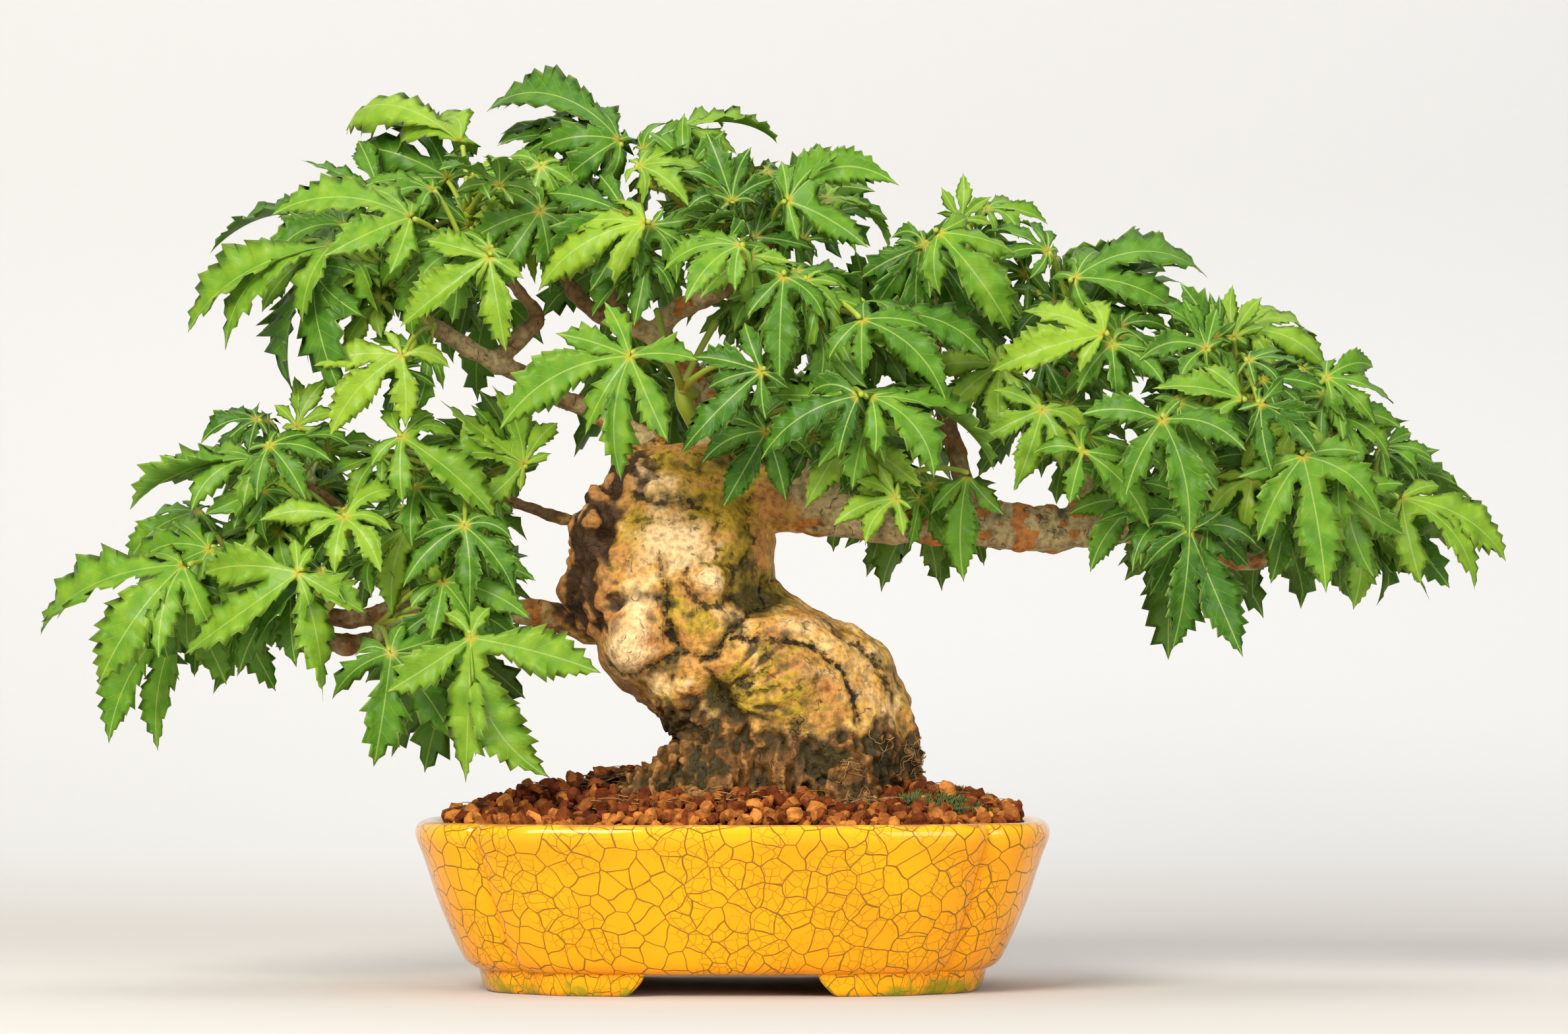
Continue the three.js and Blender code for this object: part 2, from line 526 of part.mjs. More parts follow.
function soilBed(trunk, screens) {
  const walls = POT_INSIDE.filter(([z]) => z < SOIL.rim - 1);
  const rings = walls.map(([z, halfLength]) => potOutline(halfLength - SOIL.clearance, z + GAP));
  for (let i = 0; i < SOIL.rings; i += 1) {
    const ring = potOutline(SOIL.reach * (1 - i / SOIL.rings), 0);
    rings.push(ring.map((p) => p.setZ(soilHeight(p.x, p.y))));
  }
  const top = new THREE.Vector3(0, 0, soilHeight(0, 0));
  return loft(rings, undefined, top).subtract(joined([trunk, ...screens]));
}

// A low cushion that follows the soil under it
function mossCushion([x, y], [halfWidth, halfDepth], height, grow = 0) {
  const ring = (reach, lift) => Array.from({ length: MOSS_SHAPE.steps }, (_, i) => {
    const angle = (2 * Math.PI * i) / MOSS_SHAPE.steps;
    const [c, d] = [Math.cos(angle), Math.sin(angle)];
    const surface = soilHeight(x + halfWidth * reach * c, y + halfDepth * reach * d);
    return new THREE.Vector3(
      x + (halfWidth * reach + grow) * c,
      y + (halfDepth * reach + grow) * d,
      surface + lift,
    );
  });
  const peak = new THREE.Vector3(x, y, soilHeight(x, y) + height + grow);
  const depth = MOSS_SHAPE.sunk + grow;
  const keel = new THREE.Vector3(x, y, soilHeight(x, y) - depth);
  const rings = [
    ring(MOSS_SHAPE.base, -depth),
    ring(1, MOSS_SHAPE.edge + grow),
    ring(MOSS_SHAPE.crown, MOSS_SHAPE.crownHeight * height + grow),
  ];
  return loft(rings, keel, peak);
}

// More sides for a thicker limb
function limbSides(radius) {
  return Math.round(THREE.MathUtils.clamp(radius + 2, 4, 8));
}

// Bole, surface roots, swellings, boughs and twigs, which grew as one
function wood(grow) {
  const rings = TRUNK.map(([z, left, right, halfDepth, y], i) => {
    const ends = i === 0 ? -grow : i === TRUNK.length - 1 ? grow : 0;
    return Array.from({ length: TRUNK_STEPS }, (_, j) => {
      const angle = (2 * Math.PI * j) / TRUNK_STEPS;
      const squared = (v) => Math.sign(v) * Math.abs(v) ** (2 / TRUNK_SQUARENESS);
      return new THREE.Vector3(
        (left + right) / 2 + ((right - left) / 2 + grow) * squared(Math.cos(angle)),
        y + (halfDepth + grow) * squared(Math.sin(angle)),
        z + ends,
      );
    });
  });
  const swellings = Object.values(SWELLINGS).map(([centre, half]) => bodyFromGeometry(
    new THREE.SphereGeometry(1, 8, 5)
      .rotateX(Math.PI / 2)
      .scale(...half.map((v) => v + grow))
      .translate(...centre),
  ));
  const roots = Object.values(ROOTS).map((stations) => limb(stations, 8, grow));
  const boughs = Object.values(BOUGHS).map((stations) => limb(stations, limbSides(stations[0][3]), grow));
  return joined([loft(rings), ...swellings, ...roots, ...boughs]);
}

// The nearest point on a bough's middle line
function nearestOnWood(point) {
  let best = null;
  for (const stations of Object.values(BOUGHS)) {
    for (let i = 0; i < stations.length - 1; i += 1) {
      const start = new THREE.Vector3(...stations[i].slice(0, 3));
      const end = new THREE.Vector3(...stations[i + 1].slice(0, 3));
      const found = new THREE.Line3(start, end).closestPointToPoint(point, true, new THREE.Vector3());
      if (!best || found.distanceTo(point) < best.distanceTo(point)) best = found;
    }
  }
  return best;
}

// Axes of a leaf: its heading, its upper side and its left. far turns it to face the back.
function leafAxes([x, y, z, point, toward, face], far) {
  const back = far ? -1 : 1;
  const [p, t, f] = [point, toward, face].map(degrees);
  const heart = new THREE.Vector3(x, y * back, z);
  const lean = -Math.sin(t) * back;
  const heading = new THREE.Vector3(Math.cos(p) * Math.cos(t), lean, Math.sin(p) * Math.cos(t));
  const upper = new THREE.Vector3(0, -Math.cos(f) * back, Math.sin(f)).projectOnPlane(heading).normalize();
  return { heart, heading, upper, left: upper.clone().cross(heading) };
}

// A blade of narrow lobes, thickest at its heart and along the midribs
function leafBlade(leaf, far, grow) {
  const { heart, heading, upper, left } = leafAxes(leaf, far);
  const [length, droop] = [leaf[6], degrees(leaf[7])];
  const lobes = [...(leaf[8] ?? USUAL_LOBES)].sort((a, b) => a[0] - b[0]);
  const place = (angle, reach, bend, lift) => {
    const out = heading.clone().multiplyScalar(Math.cos(degrees(angle)));
    out.addScaledVector(left, Math.sin(degrees(angle)));
    const turn = bend * reach;
    const along = bend > 1e-6 ? Math.sin(turn) / bend : reach;
    const down = bend > 1e-6 ? (1 - Math.cos(turn)) / bend : 0;
    const normal = upper.clone().multiplyScalar(Math.cos(turn)).addScaledVector(out, Math.sin(turn));
    const spot = heart.clone().addScaledVector(out, along).addScaledVector(upper, -down);
    return spot.addScaledVector(normal, lift);
  };
  const both = (angle, reach, bend, lift) => [lift, -lift].map((v) => place(angle, reach, bend, v));
  const points = both(0, 0, 0, LEAF.heart + grow);
  const notch = (before, after) => {
    const gap = after[0] - before[0];
    const share = THREE.MathUtils.clamp(NOTCH.share - NOTCH.perDegree * gap, NOTCH.least, NOTCH.most);
    const ratio = Math.min(before[1], after[1]);
    return both((before[0] + after[0]) / 2, length * ratio * share + grow, droop / length, grow);
  };
  const first = lobes[0];
  const last = lobes.at(-1);
  points.push(...both((first[0] + last[0] + 360) / 2, length * LEAF.base + grow, 0, grow));
  const faces = [];
  const quilt = (a, b, c) => faces.push([a, b, c], [a + 1, c + 1, b + 1]);
  const edge = (a, b) => faces.push([a, a + 1, b + 1], [a, b + 1, b]);
  const [middle, base] = [0, 2];
  let before = base;
  lobes.forEach((lobe, i) => {
    const [angle, ratio] = lobe;
    const bend = droop / (length * ratio);
    const tip = points.length;
    points.push(...both(angle, length * ratio + grow, bend, grow));
    const after = i < lobes.length - 1 ? points.length : base;
    if (after !== base) points.push(...notch(lobe, lobes[i + 1]));
    if (ratio < LEAF.plainBelow) {
      quilt(middle, before, tip);
      quilt(middle, tip, after);
    } else {
      const midrib = points.length;
      points.push(...both(angle, length * ratio * LEAF.midribAt, bend, LEAF.midrib + grow));
      quilt(middle, before, midrib);
      quilt(before, tip, midrib);
      quilt(midrib, tip, after);
      quilt(middle, midrib, after);
    }
    edge(before, tip);
    edge(tip, after);
    before = after;
  });
  return bodyFrom(points, faces);
}

// A stem between two places with a pointed end. A long one rises a little in the middle.
function stem(from, to, size, grow) {
  const shoulder = to.clone().lerp(from, Math.min(size.point / from.distanceTo(to), 0.5));
  const stations = [[...from.toArray(), size.thick], [...shoulder.toArray(), size.thin]];
  if (from.distanceTo(to) > size.straightBelow) {
    const middle = from.clone().lerp(to, 0.5);
    middle.z += size.arch * from.distanceTo(to);
    stations.splice(1, 0, [...middle.toArray(), (size.thick + size.thin) / 2]);
  }
  const tip = to.clone().addScaledVector(to.clone().sub(from).normalize(), grow);
  return limb(stations, size.sides, grow, tip);
}

// The green shoot and the stalks of its leaves
function shootStems({ tip, leaves, far }, grow) {
  const end = new THREE.Vector3(tip[0], far ? -tip[1] : tip[1], tip[2]);
  const root = nearestOnWood(end);
  const back = root.clone().sub(end);
  const stalks = leaves.map((leaf, i) => {
    const { heart, heading } = leafAxes(leaf, far);
    const foot = heart.addScaledVector(heading, -STALK.foot * leaf[6]);
    const run = STALK_PAIRS.first + STALK_PAIRS.spacing * Math.floor(i / 2);
    const start = end.clone().addScaledVector(back, Math.min(run / back.length(), STALK_PAIRS.within));
    return stem(start, foot, STALK, grow);
  });
  return joined([stem(root, end, SHOOT_STEM, grow), ...stalks]);
}

// Every shoot, with a somewhat turned likeness behind the middle for those that reach forward
function allShoots() {
  const near = Object.entries(SHOOTS).map(([name, shoot]) => {
    return { name: `spray_${name}`, far: false, ...shoot };
  });
  const far = [];
  near.forEach(({ name, tip, leaves }, i) => {
    const forward = leaves.filter((leaf) => leaf[1] <= -FAR_SIDE.from);
    if (forward.length < FAR_SIDE.leaves) return;
    const sway = [Math.sin(2.1 * i), Math.cos(1.3 * i), Math.sin(3.7 * i)];
    const [dx, dy, dz] = sway.map((v, k) => v * FAR_SIDE.shift[k]);
    const turned = forward.map(([x, y, z, point, ...rest], k) => {
      const turn = FAR_SIDE.turn * Math.sin(2.9 * i + k);
      return [x + dx, y - FAR_SIDE.deeper + dy, z + dz, point + turn, ...rest];
    });
    const base = [tip[0] + dx, Math.min(tip[1], -FAR_SIDE.stemFrom) + dy, tip[2] + dz];
    far.push({ name: `${name}_far`, tip: base, leaves: turned, far: true });
  });
  return [...near, ...far];
}

function overlaps(a, b) {
  const [p, q] = [a.boundingBox(), b.boundingBox()];
  return [0, 1, 2].every((k) => p.min[k] <= q.max[k] && q.min[k] <= p.max[k]);
}

// The shoots with each leaf moved in depth until it is clear of the wood and of the leaves before it
function spacedShoots(grownWood) {
  const taken = [grownWood];
  const crowding = (blade) => taken
    .filter((other) => overlaps(blade, other))
    .reduce((sum, other) => sum + blade.intersect(other).volume(), 0);
  return allShoots().map((shoot) => {
    const leaves = shoot.leaves.map((leaf) => {
      let best = null;
      for (const step of DEPTH_STEPS) {
        const moved = [leaf[0], leaf[1] + step, ...leaf.slice(2)];
        const blade = leafBlade(moved, shoot.far, GAP);
        const crowded = crowding(blade);
        if (!best || crowded < best.crowded) best = { moved, blade, crowded };
        if (best.crowded === 0) break;
      }
      taken.push(best.blade);
      return best.moved;
    });
    return { ...shoot, leaves };
  });
}

// Sprays of leaves. Each one gives way to the wood and to the sprays before it.
function sprays(grownWood) {
  const shoots = spacedShoots(grownWood);
  const grownStems = shoots.map((shoot) => shootStems(shoot, GAP));
  const grownLeaves = shoots.map((shoot) => shoot.leaves.map((leaf) => leafBlade(leaf, shoot.far, GAP)));
  const clear = (body, cutters) => {
    const near = cutters.filter((cutter) => overlaps(body, cutter));
    return near.length ? body.subtract(joined(near)) : body;
  };
  const stems = shoots.map((shoot, i) => {
    return largest(clear(shootStems(shoot, 0), [grownWood, ...grownStems.slice(0, i)]));
  });
  return shoots.map((shoot, i) => {
    const leaves = joined(shoot.leaves.map((leaf) => leafBlade(leaf, shoot.far, 0)));
    const others = grownStems.filter((_, k) => k !== i);
    const blades = clear(leaves, [grownWood, ...others, ...grownLeaves.slice(0, i).flat()]);
    return { name: shoot.name, far: shoot.far, body: largest(joined([stems[i], blades])) };
  });
}

function addPiece(group, name, body, material) {
  const mesh = new THREE.Mesh(geometryFrom(body), material.clone());
  mesh.name = name;
  group.add(mesh);
}

function finish(colour, roughness) {
  return new THREE.MeshStandardMaterial({ color: colour, roughness, metalness: 0 });
}

const tree = new THREE.Group();
const grownWood = wood(GAP);
const screens = { drain_screen_left: -DRAIN.x, drain_screen_right: DRAIN.x };
const screenRoom = Object.values(screens).map((x) => block(
  SCREEN.side + 2 * GAP,
  SCREEN.side + 2 * GAP,
  2 * (SCREEN.thickness + 2 * GAP),
  x,
  0,
  POT.floorTop,
));
const soil = soilBed(grownWood, screenRoom);
const budWood = joined(Object.values(CUT_STALKS).map((stations) => limb(stations, 6)));
const budRoom = joined(Object.values(CUT_STALKS).map((stations) => limb(stations, 6, GAP)));

addPiece(tree, 'pot', pot(), finish(COLOURS.glaze, 0.2));
Object.entries(screens).forEach(([name, x]) => {
  addPiece(tree, name, drainScreen(x), finish(COLOURS.screen, 0.6));
});
Object.entries(MOSS).forEach(([name, size]) => {
  const cushion = largest(mossCushion(...size).subtract(grownWood));
  addPiece(tree, name, cushion, finish(COLOURS.moss, 0.95));
});
const mossRoom = Object.values(MOSS).map((size) => mossCushion(...size, GAP));
addPiece(tree, 'soil_bed', soil.subtract(joined(mossRoom)), finish(COLOURS.soil, 0.95));
addPiece(tree, 'trunk_and_branches', wood(0), finish(COLOURS.bark, 0.85));
addPiece(tree, 'cut_leaf_stalks', largest(budWood.subtract(grownWood)), finish(COLOURS.cutStalk, 0.6));
sprays(joined([grownWood, budRoom])).forEach(({ name, far, body }) => {
  addPiece(tree, name, body, finish(far ? COLOURS.leafFar : COLOURS.leafFront, 0.6));
});

// The middle of the footprint becomes the origin
const bounds = new THREE.Box3().setFromObject(tree);
const middle = bounds.getCenter(new THREE.Vector3());
tree.position.set(-middle.x, -middle.y, -bounds.min.z);
tree.updateMatrixWorld(true);

export default tree;
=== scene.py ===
"""A shishigashira Japanese maple grown as a bonsai in a lobed, crackle-glazed pot.

Sizes and tables are in millimetres from the middle of the pot on the table, with -Y towards the
front of the tree and +Z up. The pot's own node says where that point lies in the frame.
"""

import logging
import math
from collections.abc import Iterable, Sequence
from dataclasses import dataclass, field
from enum import Enum
from itertools import combinations

import bpy
import numpy as np
from bpy.types import Material, Node, NodeTree, Object
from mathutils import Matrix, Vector
from mathutils.bvhtree import BVHTree
from mathutils.kdtree import KDTree
from numpy import ndarray as Array


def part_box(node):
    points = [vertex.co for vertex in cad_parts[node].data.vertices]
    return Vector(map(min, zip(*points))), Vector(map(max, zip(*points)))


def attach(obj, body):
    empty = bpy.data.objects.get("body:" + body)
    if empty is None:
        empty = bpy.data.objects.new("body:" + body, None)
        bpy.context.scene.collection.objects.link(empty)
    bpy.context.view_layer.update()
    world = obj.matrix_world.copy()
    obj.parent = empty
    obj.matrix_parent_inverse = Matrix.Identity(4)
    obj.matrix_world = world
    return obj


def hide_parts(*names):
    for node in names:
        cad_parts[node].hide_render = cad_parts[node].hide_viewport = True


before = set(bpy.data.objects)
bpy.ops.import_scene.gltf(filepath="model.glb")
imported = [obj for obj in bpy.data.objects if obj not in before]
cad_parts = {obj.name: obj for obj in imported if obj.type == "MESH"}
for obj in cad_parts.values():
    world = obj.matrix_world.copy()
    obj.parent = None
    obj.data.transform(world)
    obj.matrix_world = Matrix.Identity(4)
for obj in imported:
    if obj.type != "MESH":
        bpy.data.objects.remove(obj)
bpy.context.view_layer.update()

log = logging.getLogger("bonsai")
MM = 0.001
POT_LOW, POT_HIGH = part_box("pot")
# The tables' zero lies this far under the pot's feet
STAND = 2.4
ORIGIN = np.array([(POT_LOW.x + POT_HIGH.x) / 2 / MM, (POT_LOW.y + POT_HIGH.y) / 2 / MM, -STAND])


def linear(code: str) -> list[float]:
    """An sRGB hex code as linear red, green and blue, with an alpha of one."""
    parts = [int(code[i:i + 2], 16) / 255 for i in (1, 3, 5)]
    return [p / 12.92 if p <= 0.04045 else ((p + 0.055) / 1.055) ** 2.4 for p in parts] + [1.0]


def add_node(tree: NodeTree, earlier: dict[str, Node], label: str, kind: str, values: dict) -> None:
    """Adds a shader node with its settings and links.

    Args:
        tree: The node tree of a material or of the world.
        earlier: The nodes so far by label, to which the new one is added.
        label: The new node's label.
        kind: Its kind, as Blender names it after ShaderNode.
        values: What each of its properties, or inputs by name or number, is given: a value, a colour
            as a hex code, or after ">" the label of an earlier node, with an output's name or number
            after a full stop unless it's the first.
    """
    node = tree.nodes.new("ShaderNode" + kind)
    for key, value in values.items():
        if isinstance(value, str) and value[0] == ">":
            origin, _, output = value[1:].partition(".")
            socket = earlier[origin].outputs[int(output) if output.isdigit() else output or 0]
            tree.links.new(socket, node.inputs[key])
        elif isinstance(key, str) and hasattr(node, key):
            setattr(node, key, value)
        else:
            node.inputs[key].default_value = linear(value) if isinstance(value, str) else value
    earlier[label] = node


def dressed(name: str, marks: str, rows: Iterable[tuple]) -> Material:
    """Makes a material from a table of nodes.

    Args:
        name: The material's name.
        marks: Names of the meshes' marks that it reads, which label their nodes. "place" is a node
            with the place on the object.
        rows: The label, kind and values of each further node. The last one is the surface's shader.

    Returns:
        The material.
    """
    material = bpy.data.materials.new(name)
    material.use_nodes = True
    tree = material.node_tree
    tree.nodes.clear()
    nodes = {}
    sources = [(mark, "Attribute", {"attribute_name": mark}) for mark in marks.split()]
    rows = [("place", "TexCoord", {}), *sources, *rows]
    for row in (*rows, ("out", "OutputMaterial", {"Surface": ">" + rows[-1][0]})):
        add_node(tree, nodes, *row)
    return material


def spread(source: str, low: float, high: float, least: float = 0.0, most: float = 1.0) -> dict:
    """The settings that stretch an earlier node's values from a low and a high one to a range."""
    return {"Value": source, "From Min": low, "From Max": high, "To Min": least, "To Max": most}


def coats(base: str, layers: Iterable[tuple[str, str]]) -> list[tuple]:
    """Rows that lay colours over a base one by one, each by the share that an earlier node gives.

    Args:
        base: The colour underneath.
        layers: The label of each share, and the colour that it shows.

    Returns:
        The rows, the last of which is labelled "coated".
    """
    rows = []
    for k, (share, colour) in enumerate(layers):
        under = f">coat_{k - 1}.2" if k else base
        rows.append((f"coat_{k}", "Mix", {"data_type": "RGBA", 0: ">" + share, 6: under, 7: colour}))
    return [*rows[:-1], ("coated", *rows[-1][1:])]


@dataclass
class Shape:
    """A triangle mesh in the making.

    Attributes:
        points: A row of x, y and z for each point.
        faces: A row of three point numbers for each face.
        marks: Values for each point, by name, that the finishes read.
        coat: Which material of the piece each face has, as a number or one for each face.
        layout: A row of two flat places for each corner of each face, where a finish needs them.
    """

    points: Array
    faces: Array
    marks: dict[str, Array] = field(default_factory=dict)
    coat: int | Array = 0
    layout: Array | None = None


def together(shapes: Sequence[Shape]) -> Shape:
    """Puts shapes side by side in one, with zero for a mark that one of them lacks.

    Args:
        shapes: The shapes.

    Returns:
        One shape with the faces of all.
    """
    starts = np.cumsum([0] + [len(s.points) for s in shapes])
    names = sorted({name for s in shapes for name in s.marks})
    marks = {name: np.concatenate([s.marks.get(name, np.zeros(len(s.points))) for s in shapes])
             for name in names}
    coats = [np.broadcast_to(s.coat, len(s.faces)) for s in shapes]
    layouts = [s.layout for s in shapes if s.layout is not None]
    return Shape(np.concatenate([s.points for s in shapes]),
                 np.concatenate([s.faces + start for s, start in zip(shapes, starts)]),
                 marks, np.concatenate(coats),
                 np.concatenate(layouts) if len(layouts) == len(shapes) else None)


def welded(shape: Shape) -> Shape:
    """Joins points that lie within a fiftieth of a millimetre, and drops the faces that this flattens.

    Args:
        shape: The shape with doubled points.

    Returns:
        The shape with single points.
    """
    keys = np.round(shape.points / 0.02).astype(np.int64)
    _, first, index = np.unique(keys, axis=0, return_index=True, return_inverse=True)
    faces = index.reshape(-1)[shape.faces]
    a, b, c = faces.T
    kept = (a != b) & (b != c) & (c != a)
    marks = {name: values[first] for name, values in shape.marks.items()}
    coat = np.broadcast_to(shape.coat, len(faces))[kept]
    return Shape(shape.points[first], faces[kept], marks, coat)


def ring_faces(rows: int, count: int, closed: bool = True) -> Array:
    """Two triangles for each four points between rows, which run counter-clockwise seen from the last.

    Args:
        rows: How many rows there are.
        count: How many points a row has.
        closed: Whether a row's last point is joined to its first.

    Returns:
        Three point numbers for each face.
    """
    i, j = np.meshgrid(np.arange(rows - 1), np.arange(count if closed else count - 1), indexing="ij")
    a = i * count + j
    b = i * count + (j + 1) % count
    return np.stack([a, b, b + count, a, b + count, a + count], -1).reshape(-1, 3)


def capped(rings: Array, start: Array | None = None, end: Array | None = None) -> Shape:
    """A closed body through rings of points with a fan at both ends.

    Args:
        rings: Rows of rings of points, each counter-clockwise seen from the far end.
        start: The middle point of the first fan, where it isn't the ring's own middle.
        end: The middle point of the last fan, likewise.

    Returns:
        The closed body.
    """
    rows, count, _ = rings.shape
    start = rings[0].mean(axis=0) if start is None else start
    end = rings[-1].mean(axis=0) if end is None else end
    points = np.concatenate([rings.reshape(-1, 3), [start, end]])
    j = np.arange(count)
    after = (j + 1) % count
    top = (rows - 1) * count
    low = np.stack([np.full(count, rows * count), after, j], -1)
    high = np.stack([top + j, top + after, np.full(count, rows * count + 1)], -1)
    return Shape(points, np.concatenate([ring_faces(rows, count), low, high]))


def smoothed(stations: Sequence, step: float) -> Array:
    """Draws a smooth curve through stations.

    Args:
        stations: Rows whose first three numbers are a place. Any others are carried along.
        step: The distance between the new stations.

    Returns:
        Evenly spaced rows with the same columns.
    """
    stations = np.array(stations, float)
    gaps = np.linalg.norm(np.diff(stations[:, :3], axis=0), axis=1)
    reach = np.concatenate([[0], np.cumsum(gaps)])
    slope = np.gradient(stations, reach, axis=0)
    at = np.linspace(0, reach[-1], max(2, math.ceil(reach[-1] / step) + 1))
    k = np.clip(np.searchsorted(reach, at, side="right") - 1, 0, len(reach) - 2)
    span = (reach[k + 1] - reach[k])[:, None]
    s = (at - reach[k])[:, None] / span
    start = (2 * s ** 3 - 3 * s ** 2 + 1) * stations[k] + (s ** 3 - 2 * s ** 2 + s) * span * slope[k]
    end = (3 * s ** 2 - 2 * s ** 3) * stations[k + 1] + (s ** 3 - s ** 2) * span * slope[k + 1]
    return start + end


def wheel(count: int) -> tuple[Array, Array]:
    """The cosines and sines of evenly spaced bearings of a full round."""
    angle = np.linspace(0, 2 * math.pi, count, endpoint=False)
    return np.cos(angle), np.sin(angle)


def tube(path: Array, radii: Array, sides: int, tone: float | None = None) -> Shape:
    """A round limb along a path with rounded ends.

    Args:
        path: A row of x, y and z for each station.
        radii: The radius at each station.
        sides: How many points go round the limb.
        tone: The mark "tone" of the whole limb.

    Returns:
        The limb, with the mark "run" from 0 at its start to 1 at its end unless it has a tone.
    """
    heading = np.gradient(path, axis=0)
    heading /= np.linalg.norm(heading, axis=1, keepdims=True)
    across = np.cross(heading[0], [0, 1, 0.3])
    sideways = []
    for ahead in heading:
        across = across - ahead * (across @ ahead)
        across = across / np.linalg.norm(across)
        sideways.append(across)
    u = np.array(sideways)
    v = np.cross(heading, u)
    c, s = wheel(sides)
    rings = path[:, None] + radii[:, None, None] * (c[None, :, None] * u[:, None]
                                                    + s[None, :, None] * v[:, None])
    start = path[0] - heading[0] * radii[0] * 0.6
    end = path[-1] + heading[-1] * radii[-1] * 0.6
    limb = capped(rings, start, end)
    if tone is None:
        run = np.repeat(np.linspace(0, 1, len(path)), sides)
        limb.marks["run"] = np.concatenate([run, [0, 1]])
    else:
        limb.marks["tone"] = np.full(len(limb.points), tone)
    return limb


def grain(points: Array, size: float | Sequence[float], seed: int) -> Array:
    """Smooth noise in space.

    Args:
        points: The places to measure it at.
        size: How wide its lumps are, as one number or one for each axis.
        seed: Which noise it is.

    Returns:
        A value from -1 to 1 for each point.
    """
    cell = points / np.asarray(size, float)
    base = np.floor(cell).astype(np.int64)
    part = cell - base
    part = part * part * (3 - 2 * part)
    total = np.zeros(len(points))
    for corner in np.ndindex(2, 2, 2):
        x, y, z = (base + np.array(corner)).T
        mixed = (x * 73856093) ^ (y * 19349663) ^ (z * 83492791) ^ (seed * 2654435761)
        mixed = (mixed ^ (mixed >> 13)) * 1274126177
        value = ((mixed ^ (mixed >> 16)) & 0xFFFF) / 32767.5 - 1
        total += value * np.prod(np.where(np.array(corner), part, 1 - part), axis=1)
    return total


def layered(points: Array, size: float, seed: int, layers: int = 3) -> Array:
    """Noise whose lumps carry smaller lumps, each layer half as wide and half as high."""
    return sum(grain(points, size / 2 ** k, seed + k) / 2 ** k for k in range(layers))


def hump(distance: Array, width: float) -> Array:
    """A soft bell that is 1 at no distance and fades within the width."""
    return np.exp(-((distance / width) ** 2))


def held(values: Array) -> Array:
    """Values kept between 0 and 1."""
    return np.clip(values, 0, 1)


def in_frame(points: Array) -> Array:
    """Millimetres from the pot's middle turned into metres in the frame."""
    return (points + ORIGIN) * MM


def mesh_points(mesh: bpy.types.Mesh) -> Array:
    """The places of a mesh's points, in millimetres from the pot's middle.

    Args:
        mesh: A mesh in the frame.

    Returns:
        A row of x, y and z for each point.
    """
    places = np.zeros(len(mesh.vertices) * 3, np.float32)
    mesh.vertices.foreach_get("co", places)
    return places.reshape(-1, 3).astype(float) / MM - ORIGIN


def make_object(name: str, shape: Shape, materials: Iterable[Material] = ()) -> Object:
    """Turns a shape into an object of the scene.

    Args:
        name: The object's name.
        shape: Its mesh, in millimetres from the pot's middle.
        materials: Its materials, in the order that the shape's coats count them.

    Returns:
        The object, in metres in the frame.
    """
    mesh = bpy.data.meshes.new(name)
    count = len(shape.faces)
    mesh.vertices.add(len(shape.points))
    mesh.vertices.foreach_set("co", in_frame(shape.points).ravel())
    mesh.loops.add(3 * count)
    mesh.loops.foreach_set("vertex_index", shape.faces.astype(np.int32).ravel())
    mesh.polygons.add(count)
    mesh.polygons.foreach_set("loop_start", np.arange(0, 3 * count, 3, dtype=np.int32))
    coats = np.broadcast_to(shape.coat, count).astype(np.int32)
    mesh.polygons.foreach_set("material_index", coats)
    if shape.layout is not None:
        mesh.uv_layers.new(name="layout").data.foreach_set("uv", shape.layout.ravel())
    for mark, values in shape.marks.items():
        mesh.attributes.new(mark, "FLOAT", "POINT").data.foreach_set("value", values)
    for material in materials:
        mesh.materials.append(material)
    mesh.update(calc_edges=True)
    mesh.validate()
    mesh.shade_smooth()
    piece = bpy.data.objects.new(name, mesh)
    bpy.context.scene.collection.objects.link(piece)
    return piece


def bake_modifiers(piece: Object) -> None:
    """Gives an object the mesh that its modifiers make, and takes the modifiers away.

    Args:
        piece: The object.
    """
    graph = bpy.context.evaluated_depsgraph_get()
    graph.update()
    piece.data = bpy.data.meshes.new_from_object(piece.evaluated_get(graph))
    piece.modifiers.clear()


def settle(piece: Object, slot: str, node: str) -> None:
    """Ties a piece to the tree's one body and says what it stands for.

    Args:
        piece: The finished piece.
        slot: The record's material slot.
        node: The frame's node that it replaces.
    """
    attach(piece, "root")
    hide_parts(node)
    triangles = sum(len(face.vertices) - 2 for face in piece.data.polygons)
    log.info("%s: %d triangles, slot %s", piece.name, triangles, slot)


